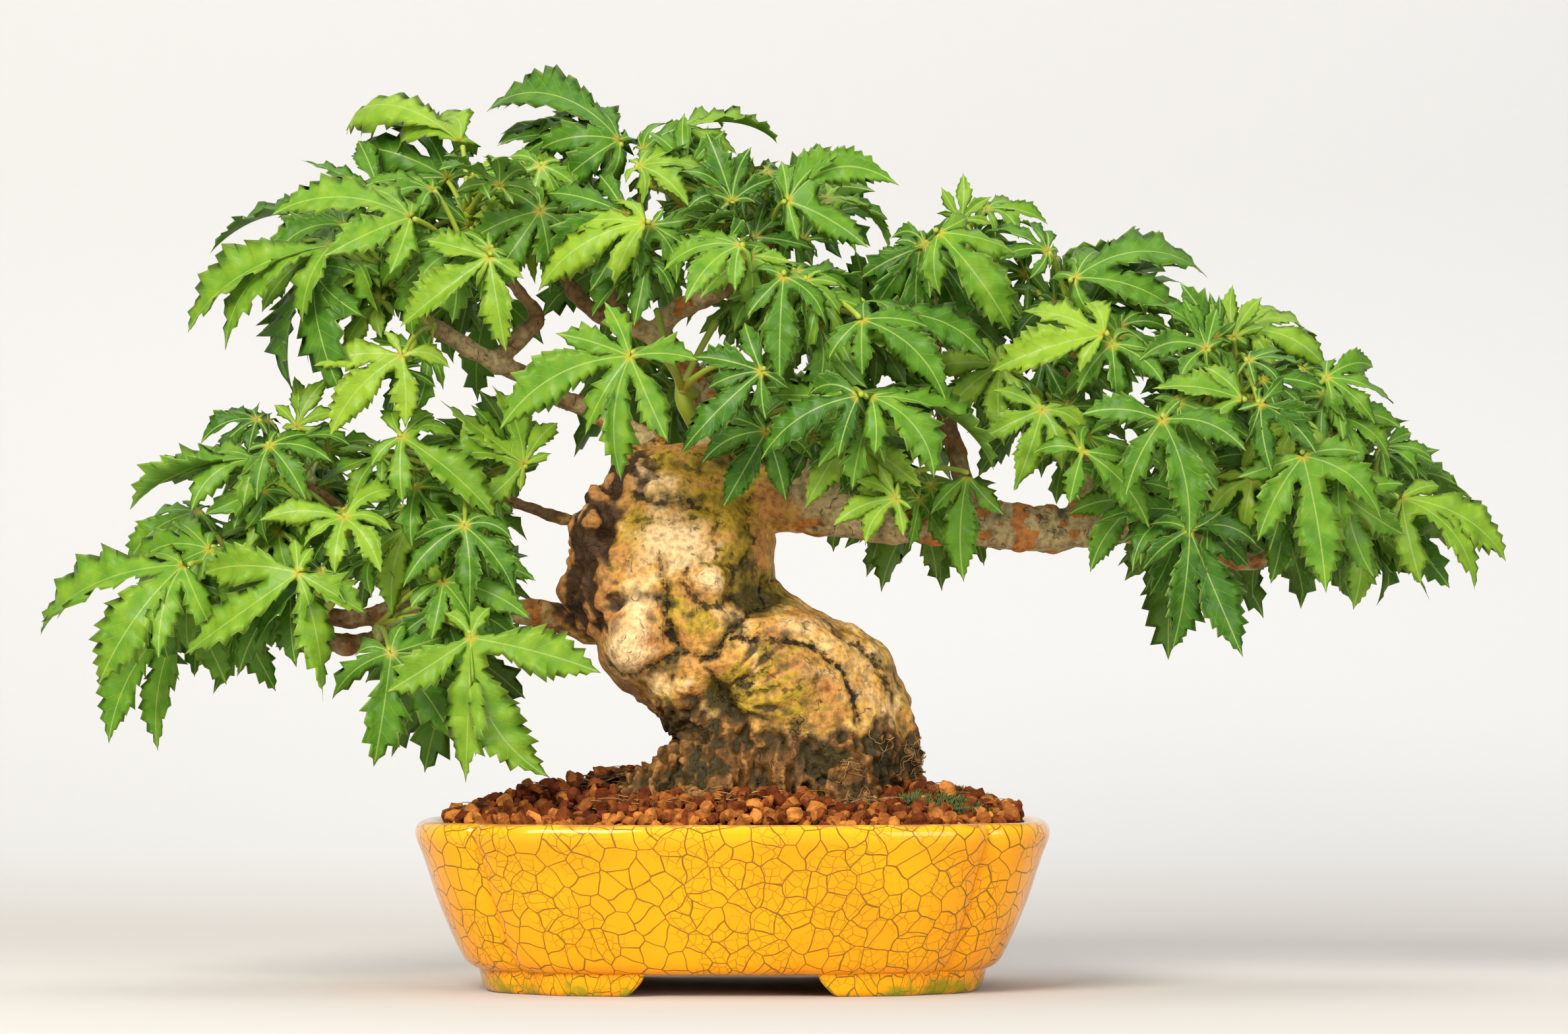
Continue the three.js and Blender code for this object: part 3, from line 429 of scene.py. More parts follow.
@dataclass(frozen=True)
class CrackleGlaze:
    """Amber lead-style glaze on pressed stoneware, crazed in the kiln as it cooled.

    The eye gets deep even colour under a glassy skin, cut by a net of stained hairlines. Sizes are
    in millimetres.
    """

    amber: str = "#f7a300"
    deep_amber: str = "#ee9000"
    thin_lip: str = "#f2b024"
    bare_edge: str = "#a8742c"
    craze: str = "#7c5916"
    algae: str = "#6f8412"
    cell: float = 5.0
    small_cell: float = 2.5
    hairline: float = 0.25
    bend: float = 3.6
    roughness: float = 0.13
    ior: float = 1.52

    def material(self) -> Material:
        """Builds the glaze from the layout along and up the wall, and from height above the table.

        Returns:
            The material.
        """
        times = {"operation": "MULTIPLY"}
        cells = {"voronoi_dimensions": "2D", "feature": "DISTANCE_TO_EDGE", "Vector": ">bent"}
        rows = [
            (name, "TexNoise", {"Scale": scale, "Detail": detail, "Vector": source})
            for name, scale, detail, source in (
                ("bends", 1 / 7.5, 1.0, ">layout.Vector"), ("patches", 1 / 16, 1.0, ">layout.Vector"),
                ("clouds", 1000 / 26, 2.0, ">place.Object"), ("specks", 1000 / 5, 3.0, ">place.Object"))
        ]
        rows += [
            ("height", "SeparateXYZ", {0: ">place.Object"}),
            ("centred", "VectorMath",
             {"operation": "SUBTRACT", 0: ">bends.Color", 1: (0.5, 0.5, 0.5)}),
            ("pushed", "VectorMath", {"operation": "SCALE", 0: ">centred", "Scale": self.bend}),
            ("bent", "VectorMath", {"operation": "ADD", 0: ">layout.Vector", 1: ">pushed"}),
            ("crowded", "MapRange", spread(">patches", 0.42, 0.52, 0, 0.75)),
            ("cloudy", "MapRange", spread(">clouds", 0.42, 0.72, 0, 0.8)),
            ("lip", "MapRange", spread(">height.Z", 0.035, 0.041)),
            ("low", "MapRange", spread(">height.Z", 0.0085, 0.002)),
        ]
        for name, cell, share in (("net", self.cell, 1.0), ("small_net", self.small_cell, 0.62)):
            half = share * self.hairline / 2 / cell
            rows += [(f"{name}_cells", "TexVoronoi", {**cells, "Scale": 1 / cell}),
                     (name, "MapRange", spread(f">{name}_cells.Distance", half * 0.6, half * 1.8, 1, 0))]
        rows += [
            ("small", "Math", {**times, 0: ">small_net", 1: ">crowded"}),
            ("crazing", "Math", {"operation": "MAXIMUM", 0: ">net", 1: ">small"}),
            ("damp", "Math", {**times, 0: ">low", 1: ">specks"}),
            ("green", "MapRange", spread(">damp", 0.36, 0.58, 0, 0.75)),
            ("rubbed", "Math", {**times, 0: ">worn.Fac", 1: ">specks"}),
            ("thin", "MapRange", spread(">rubbed", 0.3, 0.52, 0, 0.9)),
            *coats(self.amber, (("cloudy", self.deep_amber), ("lip", self.thin_lip),
                                ("crazing", self.craze), ("green", self.algae),
                                ("thin", self.bare_edge))),
            ("skin", "BsdfPrincipled", {
                "Roughness": self.roughness, "IOR": self.ior, "Specular IOR Level": 0.28,
                "Base Color": ">coated.2"}),
        ]
        return dressed("glazed_stoneware_crackled", "layout worn", rows)


@dataclass(frozen=True)
class Blend:
    """A plain finish that a mark of the mesh blends from one colour to another."""

    name: str
    mark: str
    first: str
    last: str
    roughness: float
    ior: float = 1.5
    starts: float = 0.0
    ends: float = 1.0
    most: float = 1.0

    def material(self) -> Material:
        """Builds the blend, from where it starts to where it ends on the mark.

        Returns:
            The material.
        """
        return dressed(self.name, self.mark, [
            ("share", "MapRange", spread(f">{self.mark}.Fac", self.starts, self.ends, 0, self.most)),
            *coats(self.first, [("share", self.last)]),
            ("skin", "BsdfPrincipled", {"Roughness": self.roughness, "IOR": self.ior,
                                        "Base Color": ">coated.2"}),
        ])


# Mesh as it comes off the roll: black, soft-edged and dull
SCREEN_PLASTIC = Blend("polyethylene_mesh_extruded", "tone", "#23272b", "#23272b", 0.55)
# Dead hair roots, dried where they lie: thin, brown to pale straw, with a faint sheen
ROOT_FIBRE = Blend("hair_roots_dried", "tone", "#3a2615", "#b98f52", 0.6)
# Living moss: tufts of thin green leaves, from their dark foot to their fresh tip
MOSS_LEAF = Blend("moss_living", "tone", "#222c0c", "#647026", 0.7)
# Leaf stalks and young shoots: smooth, waxy and yellow-green, reddish towards the wood
GREEN_STALK = Blend("maple_stalk_grown", "run", "#93a532", "#8a4a24", 0.38, 1.44, 0.2, 0.0, 0.5)


@dataclass(frozen=True)
class FiredClay:
    """Akadama, a volcanic clay dried and sifted to granules: dusty, porous and without a gleam.

    The mark "tone" goes from dark damp granules at 0 to pale dry ones at 1. Pores are drawn 0.6 mm
    wide, twice the real ones, so that they show.
    """

    damp: str = "#261006"
    red: str = "#743513"
    pale: str = "#d98a3c"
    pore: float = 0.6
    stain: float = 2.2
    roughness: float = 0.93
    ior: float = 1.45

    def material(self) -> Material:
        """Builds the clay with its pores.

        Returns:
            The material.
        """
        noise = {"Detail": 3.0, "Vector": ">place.Object"}
        return dressed("akadama_clay_sifted", "tone", [
            ("pores", "TexNoise", {**noise, "Scale": 1000 / self.pore}),
            ("stains", "TexNoise", {**noise, "Scale": 1000 / self.stain}),
            ("lower", "MapRange", spread(">tone.Fac", 0, 0.5)),
            ("upper", "MapRange", spread(">tone.Fac", 0.5, 1)),
            *coats(self.damp, (("lower", self.red), ("upper", self.pale))),
            ("stained", "MapRange", spread(">stains", 0.32, 0.62, 0.5, 1.12)),
            ("shaded", "VectorMath", {"operation": "SCALE", 0: ">coated.2", "Scale": ">stained"}),
            ("relief", "Bump", {"Strength": 0.9, "Distance": 0.0005, "Height": ">pores"}),
            ("skin", "BsdfPrincipled", {
                "Roughness": self.roughness, "IOR": self.ior, "Specular IOR Level": 0.2,
                "Base Color": ">shaded", "Normal": ">relief"}),
        ])


@dataclass(frozen=True)
class Humus:
    """Peaty soil crumbled between the granules: almost black where damp, brown where it has dried."""

    damp: str = "#1d130b"
    dry: str = "#4a3018"
    crumb: float = 1.6
    roughness: float = 0.95

    def material(self) -> Material:
        """Builds the soil with its crumbs.

        Returns:
            The material.
        """
        return dressed("humus_crumbled", "", [
            ("crumbs", "TexNoise",
             {"Scale": 1000 / self.crumb, "Detail": 4.0, "Vector": ">place.Object"}),
            ("dryness", "MapRange", spread(">crumbs", 0.4, 0.68)),
            *coats(self.damp, [("dryness", self.dry)]),
            ("relief", "Bump", {"Strength": 0.8, "Distance": 0.0006, "Height": ">crumbs"}),
            ("skin", "BsdfPrincipled", {"Roughness": self.roughness, "Base Color": ">coated.2",
                                        "Normal": ">relief"}),
        ])


@dataclass(frozen=True)
class MapleBark:
    """Bark of an old Japanese maple, grown in place: smooth tan skin, cracked, stained and flaking.

    The marks say where it is cut, soiled at the foot, green with algae, pale and swollen, in shade or
    flaking, where tan strands stand out, and where it is a bough or a slim twig. The pale mark is
    partly the bark's own paler patches and partly painted highlight on the bulges. The shade mark is
    painted shade in hollows, folds, pits and gaps, partly dark olive algae. The strand mark is tan
    fibres and torn wood, painted lighter on raised ridges as painted highlight, and the cut mark is
    painted darker in the low parts of the wound as painted shade. "seam" is the distance from the
    middle of the nearest long crack, in millimetres, and "seamed" how open that crack is. Lenticels
    are drawn 1.1 mm wide, about their real size.
    """

    tan: str = "#c2923f"
    pink: str = "#ab743c"
    # Paler bark: its own pale patches, and painted highlight on the bulges
    pale: str = "#f2ce96"
    grey: str = "#7f6c3a"
    crack: str = "#20160a"
    # Painted shade for hollows, folds, pits and gaps, dark olive like the algae in them
    shade: str = "#322b0d"
    cut: str = "#3d2814"
    soiled: str = "#5f3c14"
    # Tan fibres and torn wood, and painted highlight on their raised ridges
    strand: str = "#a2713a"
    algae: str = "#a0861a"
    flake: str = "#b06a2a"
    bough: str = "#ab9a6c"
    twig: str = "#7a5a36"
    patch: float = 11.0
    blotch: float = 3.2
    skin_grain: float = 1.3
    fissure: float = 6.0
    lenticel: float = 1.1
    roughness: float = 0.62
    ior: float = 1.45

    def material(self) -> Material:
        """Builds the bark from noise in the wood's own space and from its marks.

        Returns:
            The material.
        """
        times, plus, less, size = [{"operation": kind} for kind in (
            "MULTIPLY", "ADD", "SUBTRACT", "ABSOLUTE")]
        rows = [
            (name, "TexNoise", {"Scale": 1000 / wide, "Detail": detail, "Vector": ">place.Object"})
            for name, wide, detail in (("patch", self.patch, 4.0), ("blotch", self.blotch, 4.0),
                                       ("grain", self.skin_grain, 5.0), ("vein", self.fissure, 3.0))
        ]
        rows += [
            ("pinker", "MapRange", spread(">patch", 0.44, 0.6, 0, 0.9)),
            ("paler", "MapRange", spread(">patch", 0.46, 0.34, 0, 0.7)),
            ("greyer", "MapRange", spread(">blotch", 0.52, 0.66, 0, 0.55)),
        ]
        # A mark and the blotches together have to pass from the first level to the second
        layers = [
            ("bough", self.bough, 0.9, 1.3, 0.85), ("pale", self.pale, 0.7, 1.35, 0.8),
            ("flake", self.flake, 0.85, 1.0, 0.9), ("slim", self.twig, 0.75, 1.25, 0.9),
            ("algae", self.algae, 0.76, 1.12, 0.85), ("soiled", self.soiled, 0.7, 1.1, 0.95),
            ("strand", self.strand, 0.85, 1.25, 0.8), ("shade", self.shade, 0.62, 1.15, 0.92),
            ("cut", self.cut, 0.7, 1.1, 0.92),
        ]
        for mark, _, low, high, strength in layers:
            texture = ">grain" if mark == "strand" else ">blotch"
            rows += [
                (f"ragged_{mark}", "Math", {**plus, 0: f">{mark}.Fac", 1: texture}),
                (f"level_{mark}", "MapRange", spread(f">ragged_{mark}", low, high, 0, strength)),
                (f"shown_{mark}", "Math", {**times, "use_clamp": True, 0: f">{mark}.Fac", 1: 5.0}),
                (f"share_{mark}", "Math", {**times, 0: f">level_{mark}", 1: f">shown_{mark}"}),
            ]
        rows += [
            ("centred", "Math", {**less, 0: ">vein", 1: 0.5}),
            ("off_vein", "Math", {**size, 0: ">centred"}),
            ("thin", "MapRange", spread(">off_vein", 0.003, 0.012, 1, 0)),
            ("somewhere", "MapRange", spread(">blotch", 0.52, 0.62, 0, 0.6)),
            ("veined", "Math", {**times, 0: ">thin", 1: ">somewhere"}),
            ("wander", "MapRange", spread(">grain", 0.3, 0.7, -0.45, 0.45)),
            ("bent", "Math", {**plus, 0: ">seam.Fac", 1: ">wander"}),
            ("off_seam", "Math", {**size, 0: ">bent"}),
            ("gone", "MapRange", spread(">blotch", 0.36, 0.5, 0.35, 1)),
            ("broken", "Math", {**times, 0: ">seamed.Fac", 1: ">gone"}),
            ("narrow", "MapRange", spread(">off_seam", 0.12, 0.55, 1, 0)),
            # A wide band of painted shade beside each long crack, in the fold round it
            ("wide", "MapRange", spread(">off_seam", 0.3, 1.9, 0.55, 0)),
            ("line", "Math", {**times, 0: ">narrow", 1: ">broken"}),
            ("halo", "Math", {**times, 0: ">wide", 1: ">broken"}),
            ("opened", "Math", {"operation": "MAXIMUM", 0: ">line", 1: ">veined"}),
            *coats(self.tan, (("pinker", self.pink), ("paler", self.pale), ("greyer", self.grey),
                              *[("share_" + mark, stain) for mark, stain, *_ in layers],
                              ("halo", self.shade), ("opened", self.crack))),
            ("spots", "TexVoronoi",
             {"Scale": 1000 / (3.4 * self.lenticel), "Vector": ">place.Object"}),
            ("dots", "MapRange", spread(">spots", 0.08, 0.16, 0.7, 1)),
            ("grit", "MapRange", spread(">grain", 0.36, 0.58, 0.68, 1.16)),
            ("toned", "Math", {**times, 0: ">dots", 1: ">grit"}),
            ("shaded", "VectorMath", {"operation": "SCALE", 0: ">coated.2", "Scale": ">toned"}),
            ("height", "Math", {**less, 0: ">grain", 1: ">opened"}),
            ("relief", "Bump", {"Strength": 1.0, "Distance": 0.0006, "Height": ">height"}),
            ("skin", "BsdfPrincipled", {
                "Roughness": self.roughness, "IOR": self.ior, "Specular IOR Level": 0.28,
                "Base Color": ">shaded", "Normal": ">relief"}),
        ]
        marks = "bough pale flake slim algae soiled strand cut shade seam seamed"
        return dressed("maple_bark_grown", marks, rows)


@dataclass(frozen=True)
class MapleLeaf:
    """A shishigashira maple's leaf, grown thick, crinkled and toothed.

    The eye gets satin green with thin pale veins and a pale saw edge, and yellow-green light through
    the blade. Veins are drawn 0.3 to 0.4 mm wide, half as wide again as the real ones, so that they
    show. The marks "along" and "aside" are millimetres from the heart and from the midrib.
    """

    green: str = "#6b9f26"
    deep_green: str = "#3f711b"
    fresh: str = "#a8c836"
    vein: str = "#b8d16c"
    rim: str = "#b4cc68"
    underside: str = "#6f9440"
    heart: str = "#c9b834"
    mottle: float = 4.0
    midrib: float = 0.17
    vein_gap: float = 3.6
    vein_width: float = 0.15
    roughness: float = 0.4
    ior: float = 1.45
    glow: float = 0.37

    def material(self) -> Material:
        """Builds the one leaf material that every spray shares.

        Returns:
            The material.
        """
        return dressed("maple_leaf_grown", "along aside rim under tone", [
            ("mottle", "TexNoise",
             {"Scale": 1000 / self.mottle, "Detail": 5.0, "Vector": ">place.Object"}),
            ("faint", "Math", {"operation": "MULTIPLY", 0: ">mottle", 1: 0.5}),
            ("tinted", "Math", {"operation": "MULTIPLY_ADD", 0: ">tone.Fac", 1: 0.5, 2: ">faint"}),
            ("depth", "MapRange", spread(">tinted", 0.22, 0.5)),
            ("freshness", "MapRange", spread(">tinted", 0.5, 0.78, 0, 0.85)),
            ("below", "Math", {"operation": "MULTIPLY", 0: ">under.Fac", 1: 0.65}),
            ("slant", "Math",
             {"operation": "MULTIPLY_ADD", 0: ">aside.Fac", 1: -1.1, 2: ">along.Fac"}),
            ("turns", "Math", {"operation": "PINGPONG", 0: ">slant", 1: self.vein_gap / 2}),
            ("side_veins", "MapRange", spread(">turns", self.vein_width * 0.3, self.vein_width, 0.34, 0)),
            ("midribs", "MapRange", spread(">aside.Fac", self.midrib * 0.5, self.midrib * 1.3, 0.74, 0)),
            ("edge", "MapRange", spread(">rim.Fac", 0.86, 1, 0, 0.75)),
            ("near_heart", "MapRange", spread(">along.Fac", 2, 0.4, 0, 0.8)),
            *coats(self.deep_green, (
                ("depth", self.green), ("freshness", self.fresh), ("below", self.underside),
                ("side_veins", self.vein), ("edge", self.rim), ("midribs", self.vein),
                ("near_heart", self.heart))),
            ("relief", "Bump", {"Strength": 0.6, "Distance": 0.0004, "Height": ">side_veins"}),
            ("skin", "BsdfPrincipled", {
                "Roughness": self.roughness, "IOR": self.ior, "Specular IOR Level": 0.36,
                "Base Color": ">coated.2", "Normal": ">relief"}),
            ("through", "BsdfTranslucent", {"Color": ">coated.2"}),
            ("both", "MixShader", {0: self.glow, 1: ">skin", 2: ">through"}),
        ])


class Granule(Enum):
    """Kinds of clay granule, with the smallest and largest radius and the tone of each."""

    PALE = (1.55, 2.6, 0.8)
    RED = (1.2, 2.4, 0.5)
    DARK = (1.0, 1.9, 0.2)


@dataclass
class GlazedPot:
    """A long bowl on four corner feet, whose plan is four swelling lobes with creases between."""

    half_length: float = 75.0
    half_depth: float = 57.5
    crease_x: float = 59.0
    crease_inset: float = 14.5
    flatness: float = 3.0
    roundness: float = 0.55
    lobe_steps: int = 44
    foot_outer: float = 60.2
    foot_inner: float = 50.5
    foot_top: float = 8.4
    foot_turn: float = 0.55
    front_gap: float = 40.0
    side_gap: float = 26.0
    foot_slant: float = 4.2
    drain_x: float = 26.0
    drain_radius: float = 6.0
    floor: float = 13.0
    base: float = 7.4
    outside: tuple = (
        (58.4, 7.4), (60, 7.6), (61.8, 8.2), (63.2, 9.4), (65, 12.5), (67.5, 18), (69.9, 24),
        (72.2, 31), (73.6, 35), (74.4, 37), (74.9, 38.6), (75, 40), (74.6, 41.2), (73.8, 42),
        (72.8, 42.3), (71.8, 42), (71, 41.2), (70.5, 39.6), (69.5, 36), (65.2, 24), (60.2, 14.8),
        (57.6, 13),
    )
    wall_step: float = 0.85
    glaze: CrackleGlaze = CrackleGlaze()

    def lobe(self, t: Array) -> tuple[Array, Array, Array]:
        """How far a lobe swells at shares of its half, and how far out a side and a front one lie.

        Args:
            t: Places across the lobe, from -1 to 1.

        Returns:
            The swelling, and x of a side lobe's places and y of a front one's.
        """
        bulge = (1 - np.abs(t) ** self.flatness) ** self.roundness
        side = self.crease_x + (self.half_length - self.crease_x) * bulge
        return bulge, side, self.half_depth - self.crease_inset + self.crease_inset * bulge

    def plan(self, half_length: float, steps: int) -> Array:
        """The pot's outline at a height.

        Args:
            half_length: Half the outline's length.
            steps: How many points each lobe has.

        Returns:
            Rows of x and y, counter-clockwise seen from above, starting at the front right crease.
        """
        t = np.sin(math.pi / 2 * (-1 + 2 * np.arange(steps) / steps))
        _, side, front = self.lobe(t)
        across, along = (self.half_depth - self.crease_inset) * t, self.crease_x * t
        rows = np.concatenate([np.stack(pair, -1) for pair in (
            (side, across), (-along, front), (-side, -across), (along, -front))])
        return rows * half_length / self.half_length

    def bowl(self) -> Shape:
        """The bowl from the middle of its base up the wall, over the lip and down to its floor.

        Returns:
            The closed bowl, with its mark and layout.
        """
        profile = smoothed([(half, z, 0) for half, z in self.outside], self.wall_step)[:, :2]
        flat = profile[:, 0, None, None] * self.plan(1.0, self.lobe_steps)[None]
        heights = np.broadcast_to(profile[:, 1, None, None], (*flat.shape[:2], 1))
        rings = np.concatenate([flat, heights], -1)
        shape = capped(rings, np.array([0, 0, self.base]), np.array([0, 0, self.floor]))
        rows, count, _ = rings.shape
        up = np.concatenate([[0], np.cumsum(np.linalg.norm(np.diff(profile, axis=0), axis=1))])
        worn = hump(profile[:, 0] - 73.4, 1.3) * (profile[:, 1] > 41)
        shape.marks["worn"] = np.concatenate([np.repeat(worn, count), [0, 0]])
        # The layout runs round the pot at a middle height, and is the plan itself on base and floor
        outline = self.plan(0.94 * self.half_length, self.lobe_steps)
        steps = np.linalg.norm(np.diff(outline, axis=0, append=outline[:1]), axis=1)
        around = np.concatenate([[0], np.cumsum(steps)])
        row, column = shape.faces // count, shape.faces % count
        wraps = (column.max(axis=1) == count - 1) & (column.min(axis=1) == 0)
        column = np.where(wraps[:, None] & (column == 0), count, column)
        inner = (row < rows).all(axis=1)
        flat = np.stack([around[column], up[np.minimum(row, rows - 1)]], -1)
        flat[~inner] = shape.points[shape.faces[~inner]][..., :2]
        shape.layout = flat.reshape(-1, 2)
        return shape

    def foot(self, east: int, north: int) -> Shape:
        """One corner foot.

        Args:
            east: 1 for a foot on the right, -1 for one on the left.
            north: 1 for a foot at the back, -1 for one at the front.

        Returns:
            A closed body that turns the corner and slants in at both of its ends.
        """
        heights = STAND + np.array([0, 0.35, 1.1, 2.4, 3.8, 5, self.foot_top - STAND])
        drawn_in = np.array([2.1, 1.4, 0.9, 0.6, 0.3, 0.1, 0])
        lean = self.foot_slant * np.clip((self.base - heights) / (self.base - STAND), 0, 1) ** 1.6
        loop = [(self.foot_outer - d, z, s) for d, z, s in zip(drawn_in, heights, lean)]
        loop += [(self.foot_inner + d, z, s) for d, z, s in zip(drawn_in, heights, lean)][::-1]
        crease_y = self.half_depth - self.crease_inset
        stations = []
        for share in np.linspace(0, 1, 40):
            ring = []
            for half, z, slant in loop:
                size = half / self.half_length
                if share < self.foot_turn:
                    start = (self.front_gap / 2 + slant) / size / self.crease_x
                    t = start + (1 - start) * share / self.foot_turn
                    x, y = self.crease_x * t, self.lobe(t)[2]
                else:
                    end = (self.side_gap / 2 + slant) / size / crease_y
                    t = 1 + (end - 1) * (share - self.foot_turn) / (1 - self.foot_turn)
                    x, y = self.lobe(t)[1], crease_y * t
                ring.append((x * size * east, y * size * north, z))
            stations.append(ring if east * north < 0 else ring[::-1])
        shape = capped(np.array(stations))
        turn = np.arctan2(shape.points[:, 1] - 0.6 * crease_y * north,
                          shape.points[:, 0] - 0.6 * self.crease_x * east)
        flat = np.stack([30 * turn, shape.points[:, 2] + 3], -1)
        shape.layout = flat[shape.faces].reshape(-1, 2)
        return shape

    def build(self) -> None:
        """Makes the pot, drills its drain holes and glazes it."""
        feet = [self.foot(east, north) for east in (-1, 1) for north in (-1, 1)]
        piece = make_object("glazed_pot", together([self.bowl(), *feet]), [self.glaze.material()])
        c, s = wheel(40)
        for x in (-self.drain_x, self.drain_x):
            ring = np.stack([x + self.drain_radius * c, self.drain_radius * s, 0 * c], -1)
            column = np.stack([ring + [0, 0, z] for z in (self.base - 3, self.floor + 3)])
            drill = make_object("drain_drill", capped(column))
            cut = piece.modifiers.new("drain", "BOOLEAN")
            cut.operation, cut.object, cut.solver = "DIFFERENCE", drill, "EXACT"
            bake_modifiers(piece)
            bpy.data.objects.remove(drill)
        settle(piece, "glazed_stoneware", "pot")


@dataclass
class DrainScreens:
    """The two squares of plastic mesh over the drain holes, which the frame's own nodes show."""

    plastic: Blend = SCREEN_PLASTIC

    def dress(self) -> None:
        """Gives both nodes their plastic."""
        material = self.plastic.material()
        for name in ("drain_screen_left", "drain_screen_right"):
            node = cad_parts[name]
            node.data.materials.clear()
            node.data.materials.append(material)
            log.info("%s: dressed as it stands", name)


@dataclass
class SoilBed:
    """A mound of sifted clay granules on humus, heaped against the root flare."""

    rim: float = 41.0
    crown: float = 8.4
    mound_x: float = 4.0
    mound_half: tuple = (72.0, 52.0)
    steepness: float = 0.8
    roughness: float = 0.9
    reach: float = 69.0
    heaps: tuple = (
        (-46, -8, 2.6, 13), (-27, 2, 4.2, 10), (41, -4, 2.4, 13), (2, 30, 2.2, 16), (30, 27, 2.0, 12),
    )
    spacing: float = 2.85
    ring_count: int = 46
    ring_points: int = 160
    # Areas of hair roots: middle, half size, how pale and how many
    root_areas: tuple = (
        ((-30, 2), (13, 12), 0.2, 170), ((6, -30), (36, 6), 0.75, 130), ((44, -6), (16, 22), 0.5, 70),
        ((5, 30), (34, 10), 0.35, 90), ((-60, 0), (6, 16), 0.15, 40),
    )
    root_steps: int = 9
    seed: int = 11
    clay: FiredClay = FiredClay()
    humus: Humus = Humus()
    fibre: Blend = ROOT_FIBRE

    def heaped(self, x: Array, y: Array) -> Array:
        """The height of the soil's surface at places on the plan, as the frame's, with its heaps.

        Args:
            x: Places to the right.
            y: Places to the back.

        Returns:
            The height at each place.
        """
        out = np.hypot((x - self.mound_x) / self.mound_half[0], y / self.mound_half[1])
        near = np.maximum(0, 1 - out ** 2)
        bumps = np.sin(0.41 * x + 1.3) * np.cos(0.37 * y) + 0.6 * np.sin(0.23 * x - 0.61 * y)
        mound = (self.rim + self.crown * near ** self.steepness
                 + self.roughness * bumps * np.sqrt(near))
        heaps = sum(rise * hump(np.hypot(x - hx, y - hy), wide) for hx, hy, rise, wide in self.heaps)
        return mound + heaps

    def bed(self, pot: GlazedPot) -> Shape:
        """The humus under the granules, closed below.

        Args:
            pot: The pot that holds it.

        Returns:
            The closed bed.
        """
        outline = pot.plan(self.reach, self.ring_points // 4)
        rows = [np.column_stack([outline * 0.9, np.full(len(outline), 30.0)])]
        for share in np.linspace(1, 0.02, self.ring_count):
            flat = outline * share
            rows.append(np.column_stack([flat, self.heaped(flat[:, 0], flat[:, 1]) - 1.1]))
        shape = capped(np.array(rows), np.array([0, 0, 30.0]))
        lumps = layered(shape.points, 4.0, self.seed) * 0.7
        shape.points[:, 2] += np.where(shape.points[:, 2] > 35, lumps, 0)
        shape.coat = 1
        return shape

    def granule_kind(self, x: float, y: float, edge: float, draw: float) -> Granule:
        """Which granule lies at a place.

        Args:
            x: Place to the right.
            y: Place to the back.
            edge: How near to the pot's wall it is, 1 at the wall.
            draw: A random number from 0 to 1.

        Returns:
            The kind of granule.
        """
        if y < -12 and edge > 0.9:
            return Granule.PALE if draw < 0.5 else Granule.RED
        if -36 < x < -16 and y > -14:
            return Granule.DARK if draw < 0.85 else Granule.RED
        if y < -12 and edge > 0.78 and -34 < x < 45:
            return Granule.PALE if draw < 0.24 else Granule.RED
        if draw < 0.1:
            return Granule.PALE
        return Granule.RED if draw < 0.86 else Granule.DARK

    def granules(self, pot: GlazedPot, wood: BVHTree) -> list[Shape]:
        """Every granule, as lumps that rest on the bed and on each other.

        Args:
            pot: The pot that they lie in.
            wood: The trunk, to keep clear of.

        Returns:
            One small closed body for each.
        """
        rng = np.random.default_rng(self.seed)
        unit, faces = icosphere()
        outline = pot.plan(1.0, 60)
        bearing = np.unwrap(np.arctan2(outline[:, 1], outline[:, 0]))
        radius = np.linalg.norm(outline, axis=1)
        places = [
            (layer, x + (row % 2 + layer) * self.spacing / 2, y) for layer in range(2)
            for row, y in enumerate(np.arange(-56, 56, self.spacing * 0.87))
            for x in np.arange(-self.reach, self.reach, self.spacing)
        ]
        lumps = []
        for layer, x, y in places:
            px, py = np.array([x, y]) + rng.uniform(-0.8, 0.8, 2)
            draw, size, shade = rng.uniform(size=3)
            shift = rng.uniform(-1, 1, 3)
            spin, breaks = rng.normal(size=(3, 3)), rng.normal(size=(6, 3))
            depths = rng.uniform(0.5, 0.85, 6)
            turned = (math.atan2(py, px) - bearing[0]) % (2 * math.pi) + bearing[0]
            wall = self.reach * np.interp(turned, bearing, radius)
            edge = math.hypot(px, py) / wall
            if edge > 0.985 or (layer and draw > 0.42):
                continue
            kind = self.granule_kind(px, py, edge, shade)
            small, large, tone = kind.value
            r = small + (large - small) * size ** 1.5
            if kind is Granule.DARK and size > 0.55 or edge * wall > wall - r * 0.8:
                continue
            z = float(self.heaped(px, py)) + (0.1 + 1.7 * layer + 0.25 * shift[0])
            if near_wood(wood, np.array([px, py, z]), r * 0.55):
                continue
            # A rounded lump, broken along six planes and turned
            bumps = 1 + 0.2 * grain(unit * 1.3 + 7 * shift, 1.0, self.seed + 3)
            bumps += 0.09 * grain(unit * 3 + 5 * shift, 1.0, self.seed + 4)
            lump = unit * (1 + 0.2 * shift) * r * bumps[:, None]
            breaks /= np.linalg.norm(breaks, axis=1, keepdims=True)
            lump -= np.maximum(lump @ breaks.T - r * depths, 0) @ breaks
            turn, _ = np.linalg.qr(spin)
            tones = tone + 0.16 * shift[1] + 0.05 * grain(unit * 2, 1.0, self.seed)
            lumps.append(Shape(lump @ turn.T + [px, py, z], faces, {"tone": np.clip(tones, 0, 1)}))
        return lumps

